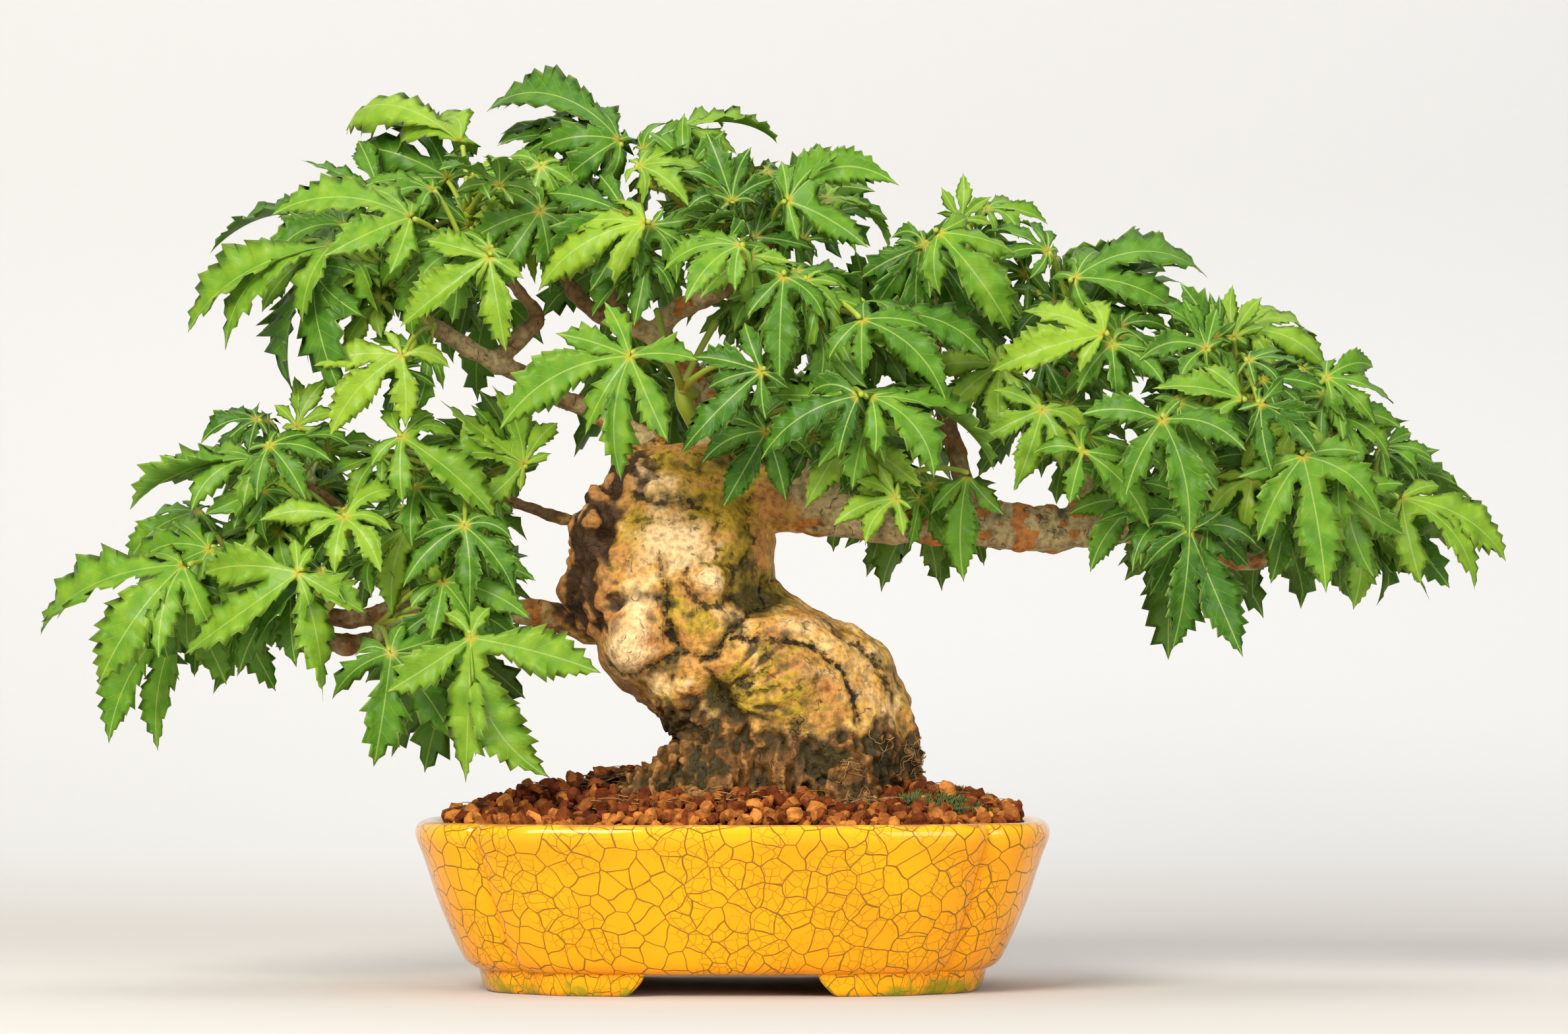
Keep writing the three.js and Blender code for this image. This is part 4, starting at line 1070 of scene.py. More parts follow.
    def hair_roots(self, wood: BVHTree) -> list[Shape]:
        """Dead hair roots that lie on the soil and curl up round the trunk's foot.

        Args:
            wood: The trunk, to keep clear of.

        Returns:
            One thin closed limb for each.
        """
        rng = np.random.default_rng(self.seed + 1)
        roots = []
        steps = self.root_steps
        for (cx, cy), (wide, deep), pale in [
                area for *area, count in self.root_areas for _ in range(count)]:
            x, y = cx + rng.uniform(-wide, wide), cy + rng.uniform(-deep, deep)
            heading, turn = rng.uniform(0, 2 * math.pi), rng.normal(0, 0.32)
            rise, length = rng.uniform(-0.1, 0.55), rng.uniform(5, 13)
            path = []
            z = float(self.heaped(x, y)) + 0.6
            for k in range(steps):
                path.append((x, y, z))
                heading += turn + rng.normal(0, 0.25)
                x += math.cos(heading) * length / steps
                y += math.sin(heading) * length / steps
                ground = float(self.heaped(x, y)) + 0.6
                z = max(ground, z + rise * length / steps * (1 - 1.6 * k / steps))
            path = np.array(path)
            if any(near_wood(wood, p, 0.1) for p in path[::3]):
                continue
            if np.abs(path[:, 0]).max() > 66 or np.abs(path[:, 1]).max() > 46:
                continue
            radii = np.linspace(rng.uniform(0.14, 0.3), 0.08, steps)
            roots.append(tube(path, radii, 3, np.clip(pale + rng.normal(0, 0.22), 0, 1)))
        return roots

    def build(self, pot: GlazedPot, wood: BVHTree) -> None:
        """Makes the bed, its granules and its hair roots as one piece.

        Args:
            pot: The pot that holds it.
            wood: The trunk that stands in it.
        """
        granules = together(self.granules(pot, wood))
        roots = together(self.hair_roots(wood))
        roots.coat = 2
        materials = [self.clay.material(), self.humus.material(), self.fibre.material()]
        piece = make_object("soil", together([granules, self.bed(pot), roots]), materials)
        coats = np.zeros(len(piece.data.polygons), np.int32)
        piece.data.polygons.foreach_get("material_index", coats)
        # Broken clay has edges, and light doesn't flow over them
        piece.data.polygons.foreach_set("use_smooth", coats > 0)
        settle(piece, "clay_granules", "soil_bed")


def icosphere() -> tuple[Array, Array]:
    """A unit ball of 80 near-equal triangles, as its points and faces.

    Returns:
        The points, and three point numbers for each face.
    """
    golden = (1 + math.sqrt(5)) / 2
    corners = [(0, s, t * golden) for s in (-1, 1) for t in (-1, 1)]
    points = np.array([np.roll(c, k) for k in range(3) for c in corners], float)
    points /= np.linalg.norm(points[0])
    edge = np.linalg.norm(points[:, None] - points[None], axis=2)
    near = edge < 1.2 * edge[edge > 0].min()
    faces = []
    for a, b, c in combinations(range(12), 3):
        if near[a, b] and near[b, c] and near[a, c]:
            out = np.cross(points[b] - points[a], points[c] - points[a]) @ points[a] > 0
            faces.append((a, b, c) if out else (a, c, b))
    halves = {}
    extra = list(points)
    finer = []
    for a, b, c in faces:
        middle = []
        for pair in ((a, b), (b, c), (c, a)):
            key = tuple(sorted(pair))
            if key not in halves:
                halves[key] = len(extra)
                between = extra[pair[0]] + extra[pair[1]]
                extra.append(between / np.linalg.norm(between))
            middle.append(halves[key])
        ab, bc, ca = middle
        finer += [(a, ab, ca), (ab, b, bc), (ca, bc, c), (ab, bc, ca)]
    return np.array(extra), np.array(finer)


def near_wood(wood: BVHTree, point: Array, clearance: float) -> bool:
    """Whether a place is inside the wood, or nearer to its surface than the clearance."""
    found, normal, _, distance = wood.find_nearest(Vector(point))
    return (Vector(point) - found).dot(normal) < 0 or distance < clearance


@dataclass
class MossCushions:
    """Three low cushions of moss on the soil, each a dome set with small leafy tufts."""

    # Each node's middle, half size and rise
    cushions: tuple = (
        ("moss_front_right", (50, -24), (11, 8), 2.6), ("moss_right", (55, 6), (8, 13), 2.2),
        ("moss_back_left", (-38, 26), (14, 7), 2.4),
    )
    # Rings of a dome: their share of its width and of its rise, in millimetres below the soil
    dome: tuple = ((0.8, -1.5), (1, -0.3), (0.9, 0.4), (0.72, 0.7), (0.5, 0.86), (0.25, 0.97))
    tufts_per_square: float = 0.75
    blade: float = 2.0
    seed: int = 23
    moss: Blend = MOSS_LEAF

    def tuft(self, foot: Array, rng: np.random.Generator) -> list[Shape]:
        """Four pointed leaves that spread from one foot.

        Args:
            foot: The place that they spread from.
            rng: The source of their differences.

        Returns:
            A slim closed spike for each leaf.
        """
        blades = []
        for k in range(4):
            bearing = math.pi / 2 * (k + rng.uniform())
            out = rng.uniform(0.25, 0.9)
            length = self.blade * rng.uniform(0.6, 1.15)
            lean = np.array([math.cos(bearing) * out, math.sin(bearing) * out, 1.0])
            path = foot + np.outer([0, 0.55, 1], lean * length / np.linalg.norm(lean))
            spike = tube(path, np.array([0.24, 0.22, 0.05]), 3)
            spike.marks = {"tone": spike.marks["run"] * rng.uniform(0.6, 1)}
            blades.append(spike)
        return blades

    def build(self, soil: SoilBed) -> None:
        """Makes every cushion on the soil.

        Args:
            soil: The soil that it grows on.
        """
        material = self.moss.material()
        for node, (cx, cy), (wide, deep), rise in self.cushions:
            rng = np.random.default_rng(self.seed + len(node))
            c, s = wheel(48)
            rows = []
            for share, lift in self.dome:
                x, y = cx + wide * share * c, cy + deep * share * s
                top = soil.heaped(x, y) + (rise * lift * 0.7 if lift > 0 else lift)
                rows.append(np.column_stack([x, y, top]))
            dome = capped(np.array(rows))
            dome.points[:, 2] += 0.4 * layered(dome.points, 3.0, self.seed)
            dome.marks["tone"] = np.full(len(dome.points), 0.15)
            blades = []
            for _ in range(int(math.pi * wide * deep * self.tufts_per_square)):
                share, bearing = math.sqrt(rng.uniform()) * 0.98, rng.uniform(0, 2 * math.pi)
                x, y = cx + wide * share * math.cos(bearing), cy + deep * share * math.sin(bearing)
                z = float(soil.heaped(x, y)) + rise * 0.7 * max(0, 1 - share ** 2) ** 0.5 - 0.3
                blades += self.tuft(np.array([x, y, z]), rng)
            piece = make_object(node + "_tufts", together([dome, *blades]), [material])
            settle(piece, "moss", node)


# The trunk's column: z, its left and right, half its depth and y
TRUNK = (
    (34, -16, 28, 17, 0), (44, -25, 38, 22, 0), (50, -27, 41, 24.5, 0), (55, -19.5, 43.5, 24.5, 0),
    (60, -13, 43.8, 23.5, 0), (66, -18, 42.6, 23.5, 0), (73, -25.5, 40.4, 24, 0),
    (80, -31, 36.8, 24.5, 0), (86, -33, 31, 24, 0), (92, -38, 19, 23, 0), (98, -40, 11.5, 22.5, 0),
    (104, -38, 9.5, 21.5, 0), (109, -35.5, 9.5, 20.5, 0), (114, -36, 9, 19, 0.5),
    (120, -31, 6, 16.5, 1), (125, -28, 3, 14, 1.5), (129, -22.5, -1, 10.5, 2),
    (131.5, -16, -6.5, 5, 2.5),
)
# Each root on the soil from the trunk outwards: x, y, z and radius
ROOTS = (
    ((-2, -9, 57, 8), (-15, -14, 51, 6.5), (-27, -18, 43.5, 4.5)),
    ((-2, -12, 60, 10), (-5, -22, 50, 6.5), (-8, -30, 42.5, 4)),
    ((22, -12, 60, 10), (27, -22, 50, 7), (33, -29, 42.5, 4.5)),
    ((-3, 8, 57, 8), (-14, 17, 50, 6.5), (-24, 25, 43, 4.5)),
    ((10, 12, 60, 10), (8, 23, 50, 7), (5, 32, 42.5, 4)),
    ((26, 9, 60, 10), (33, 18, 51, 7), (38, 27, 43, 4.5)),
)
# Healed knots: middle and half size
SWELLINGS = (
    ((-5, -19.5, 98.4), (5, 3.4, 5)),
    ((-21, -20.5, 85), (7, 4, 8)),
    ((-33, -6, 108), (5, 11, 13)),
)
# Each bough and twig from its foot: x, y, z and radius
BOUGHS = (
    ((-22, 4, 86, 4.5), (-33, 5, 88, 3.6), (-46, 3, 91, 3), (-60, 0, 92, 2.8), (-72, -2, 92, 2.8),
     (-80, -3, 91.5, 2.5), (-88, -3, 90, 2.1), (-98, -2, 91, 1.8), (-108, 0, 95, 1.5),
     (-118, 1, 101, 1.2)),
    ((-78, -3, 91, 2.2), (-84, -5, 85.5, 2.2), (-91, -6, 83.5, 2.1), (-97, -6, 85.5, 1.9),
     (-100, -6, 88.5, 1.6)),
    ((-70, -1, 92, 1.9), (-76, 2, 102, 1.6), (-86, 3, 110, 1.4), (-96, 2, 118, 1.2), (-106, 1, 124, 1)),
    ((-26, 4, 112, 2.4), (-38, 6, 113, 1.8), (-50, 6, 117, 1.5), (-62, 4, 122, 1.2)),
    ((-14, 2, 126, 4.2), (-24, 3, 134, 2.8), (-33, 4, 139, 2.3), (-42, 4, 143, 2.1), (-50, 3, 148, 2.3),
     (-57, 0, 151, 2.5), (-63, -2, 154.5, 2.5), (-69, -3, 158, 2.3), (-75, -3, 162, 2),
     (-82, -2, 167, 1.5), (-90, -1, 171, 1.1)),
    ((-56, 0, 152, 2.1), (-50, -1, 157.5, 2.2), (-47, 0, 161, 1.8), (-52, 2, 169, 1.4),
     (-60, 2, 178, 1.2), (-66, 1, 187, 1)),
    ((-8, 3, 124, 6), (-6, 5, 136, 4.2), (-10, 6, 147, 3.4), (-18, 5, 157, 2.8), (-27, 5, 161, 2.3),
     (-34, 6, 164, 1.9), (-40, 7, 171, 1.7), (-44, 6, 181, 1.2), (-44, 4, 190, 1)),
    ((-19, 5, 158, 2.6), (-13, 2, 163.5, 2.8), (-6, 1, 166.5, 2.4), (2, 1, 171, 1.7), (8, 1, 178, 1.3),
     (12, 0, 184, 1)),
    ((-25, 5, 160, 2), (-29, 4, 166, 1.5), (-28.5, 3, 176, 1.3), (-24, 3, 186, 1.1), (-20, 2, 194, 0.9)),
    ((-4, -1, 117, 10), (6, -3, 118.5, 7.8), (14, -5, 117.5, 6.8), (24, -7, 115.5, 6.2),
     (35, -8, 113.5, 5.4), (48, -8, 112.3, 4.8), (60, -6, 112.2, 4.9), (72, -4, 111.6, 5),
     (82, -2, 111.2, 4.8), (92, 0, 111.4, 3.9), (104, 2, 109, 3), (116, 2, 105.5, 2.5),
     (125, 0, 103.5, 2.3), (131, -1, 106, 2), (137, -1, 111, 1.7), (146, -1, 115, 1.4),
     (154, -1, 118, 1)),
    ((20, -8, 118, 4.2), (21, -9, 125, 4), (22, -9, 130.5, 3.6)),
    ((38, -6, 115, 2.9), (36, -2, 124, 2.4), (30, 1, 134, 2), (26, 2, 144, 1.7), (24, 1, 154, 1.4),
     (22, 0, 164, 1.1)),
    ((56, -5, 114, 2.8), (54, 0, 126, 2.3), (50, 2, 140, 1.9), (48, 2, 154, 1.6), (50, 1, 166, 1.3),
     (54, 0, 175, 1)),
    ((81, -2, 113, 3), (84, 0, 121, 2.6), (83, 2, 132, 2.1), (80, 2, 144, 1.7), (82, 1, 156, 1.3),
     (86, 0, 165, 1)),
    ((98, 1, 110.5, 2.4), (106, 3, 120, 2), (112, 3, 132, 1.6), (116, 2, 143, 1.3), (120, 1, 151, 1)),
    ((133, -1, 108, 1.6), (138, 2, 120, 1.4), (142, 2, 130, 1.2), (141, 1, 139, 1)),
)
# Long cracks of the trunk's front: how open each is, how deep its fold is, and x and z along it
SEAMS = (
    (1.0, 1.3, ((1.1, 84.3), (7.8, 85.5), (15.4, 84.5), (21.2, 81.7), (26, 77.4), (28.7, 71.6),
     (29.3, 65.9))),
    (0.8, 0.9, ((20, 88.8), (25.5, 86.4), (29.8, 84), (34, 79.3), (36.6, 73.6))),
    (0.9, 2.0, ((9.5, 100), (8, 94.5), (2.5, 90), (0, 86.5), (-3.7, 81.7), (-8, 80.4), (-11.5, 81.5),
     (-14.2, 86), (-15.4, 92), (-16.4, 99), (-17.2, 104))),
    (0.7, 1.2, ((-10.4, 101.5), (-11.3, 98.2), (-9.8, 94.3), (-6.2, 92.3), (-1.9, 93), (0.8, 96.2),
     (0.9, 100.4), (-1.6, 103.5))),
    (0.6, 0.8, ((-4.2, 111.8), (-4.7, 104))),
    (0.7, 1.0, ((-24, 118.5), (-18, 116), (-11, 117), (-4, 114.5))),
    (0.5, 0.7, ((-22, 113), (-15, 112.4), (-9, 113.6))),
    (0.7, 1.0, ((-29, 80), (-24, 77.5), (-18, 78.4), (-13, 81.5))),
    (0.7, 0.7, ((-2, 71), (3.5, 75), (10, 79.6))),
    (0.5, 0.5, ((-1, 70), (9, 72.6), (17, 73.6))),
    (0.6, 1.0, ((-3, 72), (-5, 77), (-9, 80))),
    (0.6, 0.8, ((3, 103), (6, 108), (3, 113), (5, 118))),
)
# Swellings and hollows of the trunk's front: x, z, half width, half height and rise
LUMPS = (
    (-5.1, 98.4, 3.5, 3.5, 2.8), (-23.5, 82, 5, 5.5, 2.0), (-22, 92, 3.8, 9, 1.7),
    (-11, 108, 8, 6, 1.4), (-8, 88, 4, 4, 0.9), (-20, 112, 4, 7, 1.2), (13, 90, 9, 3, 0.9),
    (20, 75, 9, 8, 1.2), (-10, 70.5, 4, 4.5, 1.8), (-2.5, 71, 3.6, 5, -3.2), (6, 95.5, 6.5, 4, -2.8),
    (35, 66, 4, 9, 0.8), (9, 62, 3, 8, -1.6), (-7, 57, 3, 7, -1.2), (20, 57, 3, 8, -1.8),
    (2, 108, 3, 8, -1.0),
)
# Spots of the trunk's front by mark: the algae and flake rows are the bark's own stains, the pale rows
# partly paler bark and partly painted highlight, and the shade rows painted shade in hollows, partly dark
# olive algae. Each row: x, z, half width, half height and strength
MARKED_SPOTS = {
    "pale": ((-14, 108, 9, 8, 0.8), (-24, 83, 6, 6, 0.62), (-22, 93, 4, 8, 0.55),
        (-5.1, 98.4, 2.8, 2.8, 0.9), (17, 87.5, 9, 2.6, 0.45), (31, 76, 5, 9, 0.35)),
    "algae": ((7, 96, 7, 5, 0.9), (-3, 103, 6, 3, 0.55), (6, 70, 9, 5, 0.3), (-13, 96, 3, 7, 0.5),
        (-4, 117, 11, 6, 0.7), (-10, 88, 5, 3, 0.45), (-8, 126, 12, 5, 0.7), (14, 84, 12, 2.5, 0.35)),
    "shade": ((-2, 127, 9, 3, 0.6), (-3, 71, 5, 5, 0.95), (6, 95, 8, 4, 1.0), (3, 101, 4, 4, 0.7),
        (0, 89, 3, 4, 0.7), (-10, 118, 10, 2, 0.5), (-12, 64, 9, 5, 0.7)),
    "flake": ((21, 73, 6, 4, 0.5), (10, 78, 8, 4, 0.4), (-9.5, 71, 4, 4, 0.6), (34, 66, 4, 5, 0.35)),
}
# The middle of the torn strip that an old wound left on the trunk's left, x and z from its top
WOUND = ((-27, 125), (-32, 118), (-35.5, 109), (-37, 100), (-34, 92))


def off_course(flat: Array, course: Sequence) -> Array:
    """The distance of flat places from a line through stations.

    Args:
        flat: Rows of x and z.
        course: The x and z of each station.

    Returns:
        A distance for each place.
    """
    nearest = np.full(len(flat), np.inf)
    for start, end in zip(course, course[1:]):
        a, b = np.array(start, float), np.array(end, float)
        share = held((flat - a) @ (b - a) / ((b - a) @ (b - a)))
        nearest = np.minimum(nearest, np.linalg.norm(flat - a - share[:, None] * (b - a), axis=1))
    return nearest


def spots(points: Array, rows: Iterable[tuple]) -> list[Array]:
    """How strongly each row of LUMPS, or of a table of marked spots, is felt at places."""
    return [amount * hump(np.hypot((points[:, 0] - x) / wide, (points[:, 2] - z) / high), 1)
            for x, z, wide, high, amount in rows]


@dataclass
class MapleWood:
    """The bole, surface roots, boughs and twigs, which grew as one."""

    squareness: float = 2.3
    bole_points: int = 120
    voxel: float = 0.78
    wound_half: float = 7.0
    fan: tuple = (-4, 70)
    fan_lines: int = 24
    node_spacing: float = 8.5
    hairs: int = 260
    seed: int = 23
    bark: MapleBark = MapleBark()
    fibre: Blend = ROOT_FIBRE

    def bole(self) -> Shape:
        """The trunk's own column, as fine rings between the table's.

        Returns:
            The closed column.
        """
        rows = smoothed([(0, 0, z, left, right, deep, y) for z, left, right, deep, y in TRUNK], 1.0)
        wide, deep = [np.sign(v) * np.abs(v) ** (2 / self.squareness) for v in wheel(self.bole_points)]
        z, left, right, half_depth, y = rows[:, 2:].T[..., None]
        return capped(np.stack([
            (left + right) / 2 + (right - left) / 2 * wide, y + half_depth * deep,
            np.broadcast_to(z, (len(rows), self.bole_points)),
        ], -1))

    def limbs(self) -> list[Shape]:
        """Roots, boughs and twigs, with the low rings that old leaf pairs leave on them.

        Returns:
            One closed limb for each row of the tables.
        """
        shapes = []
        for k, stations in enumerate((*ROOTS, *BOUGHS)):
            rows = smoothed(stations, 0.8)
            run = np.arange(len(rows)) * 0.8
            ring = hump((run + 3.1 * k) % self.node_spacing - self.node_spacing / 2, 0.75)
            radii = rows[:, 3] * (1 + 0.16 * ring * held((4.2 - rows[:, 3]) / 2))
            shapes.append(tube(rows[:, :3], radii, 22))
        return shapes

    def joined_skin(self) -> Object:
        """All of the wood as one closed skin, softened where limbs meet.

        Returns:
            An object that the finished wood takes the place of.
        """
        unit, faces = icosphere()
        knots = [Shape(unit * half + centre, faces) for centre, half in SWELLINGS]
        solid = together([self.bole(), *self.limbs(), *knots])
        solid.marks = {}
        skin = make_object("soft_wood", solid)
        remesh = skin.modifiers.new("one_skin", "REMESH")
        remesh.mode, remesh.voxel_size = "VOXEL", self.voxel * MM
        soften = skin.modifiers.new("soften", "SMOOTH")
        soften.factor, soften.iterations = 0.5, 4
        bake_modifiers(skin)
        return skin

    def limb_radius(self, points: Array) -> Array:
        """The radius of the bough that each point is nearest to.

        Args:
            points: Places to measure at.

        Returns:
            A radius for each.
        """
        rows = np.concatenate([smoothed(stations, 2.0) for stations in BOUGHS])
        radius = np.zeros(len(points))
        for start in range(0, len(points), 4096):
            part = points[start:start + 4096]
            gaps = np.linalg.norm(part[:, None] - rows[None, :, :3], axis=2) - rows[None, :, 3]
            radius[start:start + 4096] = rows[np.argmin(gaps, axis=1), 3]
        return radius

    def seams(self, points: Array) -> tuple[Array, Array, Array]:
        """The long cracks of the trunk's front.

        Args:
            points: Places on the smooth skin.

        Returns:
            For each point the distance to the nearest crack, how open that crack is, and how deep the
            fold round it lies.
        """
        wander = np.column_stack([layered(points, 5, 5), layered(points, 5, 65)])
        flat = points[:, [0, 2]] + 1.1 * wander
        front = held((4 - points[:, 1]) / 8)
        nearest, opened = np.full(len(points), 9.0), np.zeros(len(points))
        deep = np.zeros(len(points))
        for openness, depth, course in SEAMS:
            gap = off_course(flat, course)
            opened = np.where(gap < nearest, openness, opened)
            nearest = np.minimum(nearest, gap)
            deep = np.maximum(deep, depth * (0.6 * hump(gap, 0.9) + 0.22 * hump(gap, 2.6)))
        return nearest, opened * front, deep * front

    def weathered(self, points: Array) -> tuple[Array, dict[str, Array]]:
        """How far the bark stands out at each point, and what it looks like there.

        Args:
            points: Places on the smooth skin.

        Returns:
            The height to add along the skin's normal, and the bark's marks.
        """
        x, y, z = points.T
        heights, left, right = np.array(TRUNK, float).T[:3]
        middle = np.interp(z, heights, (left + right) / 2)
        half = np.interp(z, heights, (right - left) / 2)
        beyond = held((np.abs(x - middle) - half - 1) / 10)
        bough = np.where(z > 132, 1.0, np.where(z > 80, beyond, 0.0))
        bole = 1 - bough
        radius = self.limb_radius(points)
        front = held((4 - y) / 8)
        edge = 67 + 6 * grain(points, (5, 5, 12), 30) + 3 * layered(points, 14, 33)
        soiled = held((edge + 8 * hump(x + 5, 9) * front - z) / 6) * bole
        gap, opened, fold = self.seams(points)
        warped = points + 1.2 * np.column_stack([grain(points, 6, seed) for seed in (71, 72, 73)])
        lumps = sum(spots(warped, LUMPS)) * front
        stained = {mark: np.maximum.reduce(spots(warped, rows)) * front
                   for mark, rows in MARKED_SPOTS.items()}
        wander = np.column_stack([grain(points, 6, 81), grain(points, 6, 82)])
        off_wound = off_course(points[:, [0, 2]] + 1.5 * wander, WOUND)
        cut = held(1.5 - off_wound / self.wound_half) * held((10 - y) / 8)
        size = np.clip(radius / 5, 0.12, 1) * bough + bole
        broad = 1.0 * grain(points, 12, 40) + 0.8 * grain(points, 6, 41)
        rough = 0.45 * grain(points, 3.2, 44) + 0.3 * grain(points, 1.9, 45)
        strands = 0.6 * grain(points, (1.7, 1.7, 6), 50) + grain(points, (1.2, 1.2, 2), 52)
        flutes = (1.6 * grain(points, (5.5, 5.5, 24), 54) * held((76 - z) / 14)
                  + 0.9 * grain(points, (7, 7, 30), 55)) * bole
        torn = 2.4 * grain(points, (3, 3, 8), 56) + 1.5 * grain(points, 2.2, 57)
        folds = 0.8 * (0.5 - np.abs(grain(points, (11, 11, 4.5), 58))) * held((z - 104) / 8)
        flakes = held(5 * grain(points, (2.6, 2.4, 2.2), 60) + 0.1) * bough
        flakes = flakes * held(radius / 4) * (grain(points, (14, 9, 9), 61) > -0.1)
        # Wrinkles that run out like a fan from a hollow under the bulge
        off_x, off_z = x - self.fan[0], z - self.fan[1]
        away, bearing = np.hypot(off_x, off_z), np.arctan2(off_z, off_x)
        rays = np.sin(self.fan_lines * bearing + 2.4 * grain(points, 8, 91)) + grain(points, 3, 92)
        fanned = held(3 * (bearing + 0.6)) * held(4 * (1.15 - bearing)) * front
        fanned = fanned * held(away / 5) * held((25 - away) / 9)
        rise = (broad + rough) * size + flutes + torn * cut + folds * bole + 0.5 * flakes
        rise = rise + 1.9 * strands * soiled + lumps - fold * size + 0.4 * rays * fanned
        hollow = held(-lumps / 2.6)
        patches = held(0.4 + 1.7 * grain(points, 9, 63) + 0.9 * grain(points, 3.6, 64))
        algae = stained["algae"] + 0.6 * held(rays) * fanned
        algae = algae + (0.32 + 0.5 * hollow + 0.4 * hump(z - 116, 12)) * patches
        # Painted shade: darker in the marked hollows, the bulges' hollows, folds, pits, the fan's
        # grooves, the gaps between strands at the foot and the low parts of the wound
        shade = [
            stained["shade"], hollow, 0.3 * fold, 0.85 * held(-rays) * fanned,
            0.8 * held(-(rough * size * 1.1 + folds * bole) / 0.75),
            held(-1.6 * strands + 1.1 * grain(points, (6, 6, 14), 53)) * soiled,
            held(0.5 - torn / 2) * cut,
        ]
        # Painted highlight: the bulges are painted paler, and the raised strands at the foot and the
        # wound's ridges take the light strand colour; painted shade: the wound's dark colour thins out on
        # its ridges and stays in its low parts
        return rise, {
            "bough": bough, "slim": held((2.9 - radius) / 1.2) * bough, "soiled": soiled,
            "flake": np.maximum(flakes, stained["flake"]), "cut": cut * np.clip(0.9 - torn / 1.4, 0.1, 1),
            "strand": np.clip(1.3 * strands, 0, 0.7) * soiled + np.clip(1.3 * torn, 0, 0.95) * cut,
            "algae": held(algae * bole * (1 - cut) * (1 - 0.85 * stained["pale"])),
            "shade": held(np.maximum.reduce(shade)),
            "pale": held(stained["pale"] + 0.2 * np.clip(lumps, 0, 1.6)),
            "seam": np.minimum(gap, 6), "seamed": opened * (1 - bough),
        }

    def root_hairs(self, skin: BVHTree) -> list[Shape]:
        """Dead hair roots that cling to the foot of the trunk.

        Args:
            skin: The finished surface of the wood.

        Returns:
            One thin closed limb for each.
        """
        rng = np.random.default_rng(self.seed)
        hairs = []
        for _ in range(self.hairs):
            bearing, z = rng.uniform(-math.pi, math.pi), 46 + 20 * rng.uniform() ** 1.3
            slope, turn = rng.normal(-0.6, 0.7), rng.normal(0, 0.25)
            count, thick, tone = rng.integers(7, 14), rng.uniform(0.1, 0.24), rng.uniform(0.2, 1)
            at = np.array([10 + 60 * math.cos(bearing), 60 * math.sin(bearing), z])
            path = []
            for _ in range(count):
                found, normal, *_ = skin.find_nearest(Vector(at))
                found, normal = np.array(found), np.array(normal)
                path.append(found + normal * rng.uniform(0.1, 0.7))
                sideways = np.cross(normal, [0, 0, 1])
                sideways /= max(np.linalg.norm(sideways), 0.1)
                slope += turn + rng.normal(0, 0.35)
                at = found + math.cos(slope) * sideways + math.sin(slope) * np.cross(sideways, normal)
            path = np.array(path)
            if path[:, 2].min() >= 44 and path[:, 2].max() <= 72:
                hairs.append(tube(path, np.linspace(thick, 0.07, count), 3, tone))
        return hairs

    def build(self) -> BVHTree:
        """Makes the wood, weathers its bark and hangs hair roots on its foot.

        Returns:
            The wood's surface, for its neighbours to keep clear of.
        """
        soft = self.joined_skin()
        mesh = soft.data
        mesh.calc_loop_triangles()
        faces = np.zeros(len(mesh.loop_triangles) * 3, np.int32)
        mesh.loop_triangles.foreach_get("vertices", faces)
        normals = np.zeros(len(mesh.vertices) * 3, np.float32)
        mesh.vertex_normals.foreach_get("vector", normals)
        points = mesh_points(mesh)
        bpy.data.objects.remove(soft)
        rise, marks = self.weathered(points)
        points = points + normals.reshape(-1, 3) * rise[:, None]
        bark = Shape(points, faces.reshape(-1, 3), marks)
        surface = BVHTree.FromPolygons([tuple(p) for p in points], bark.faces.tolist())
        hairs = together(self.root_hairs(surface))
        hairs.coat = 1
        wood = make_object("maple_wood", together([bark, hairs]),
                           [self.bark.material(), self.fibre.material()])
        settle(wood, "bark", "trunk_and_branches")
        return surface


@dataclass
class CutStalks:
    """The bud at the top of the trunk with the stalks of two leaves that were cut off."""

    bud: tuple = ((-9.4, 1.6, 136, 1.6), (-12, -3.5, 143, 1.9), (-12.4, -4, 146, 1.3))
    left: tuple = ((-12.2, -3.9, 145, 0.9), (-15.5, -6, 154, 0.8), (-18, -7.5, 163, 0.9))
    right: tuple = ((-12.1, -4.1, 144.5, 0.9), (-8.5, -7, 152, 0.8), (-4, -9, 160, 0.9))

    def build(self, material: Material) -> None:
        """Makes the bud and both stalks in the stalk material.

        Args:
            material: The stalk material.
        """
        paths = [smoothed(stations, 0.7) for stations in (self.bud, self.left, self.right)]
        limbs = [tube(rows[:, :3], rows[:, 3], 16) for rows in paths]
        settle(make_object("cut_stalks", together(limbs), [material]), "green_stalk", "cut_leaf_stalks")


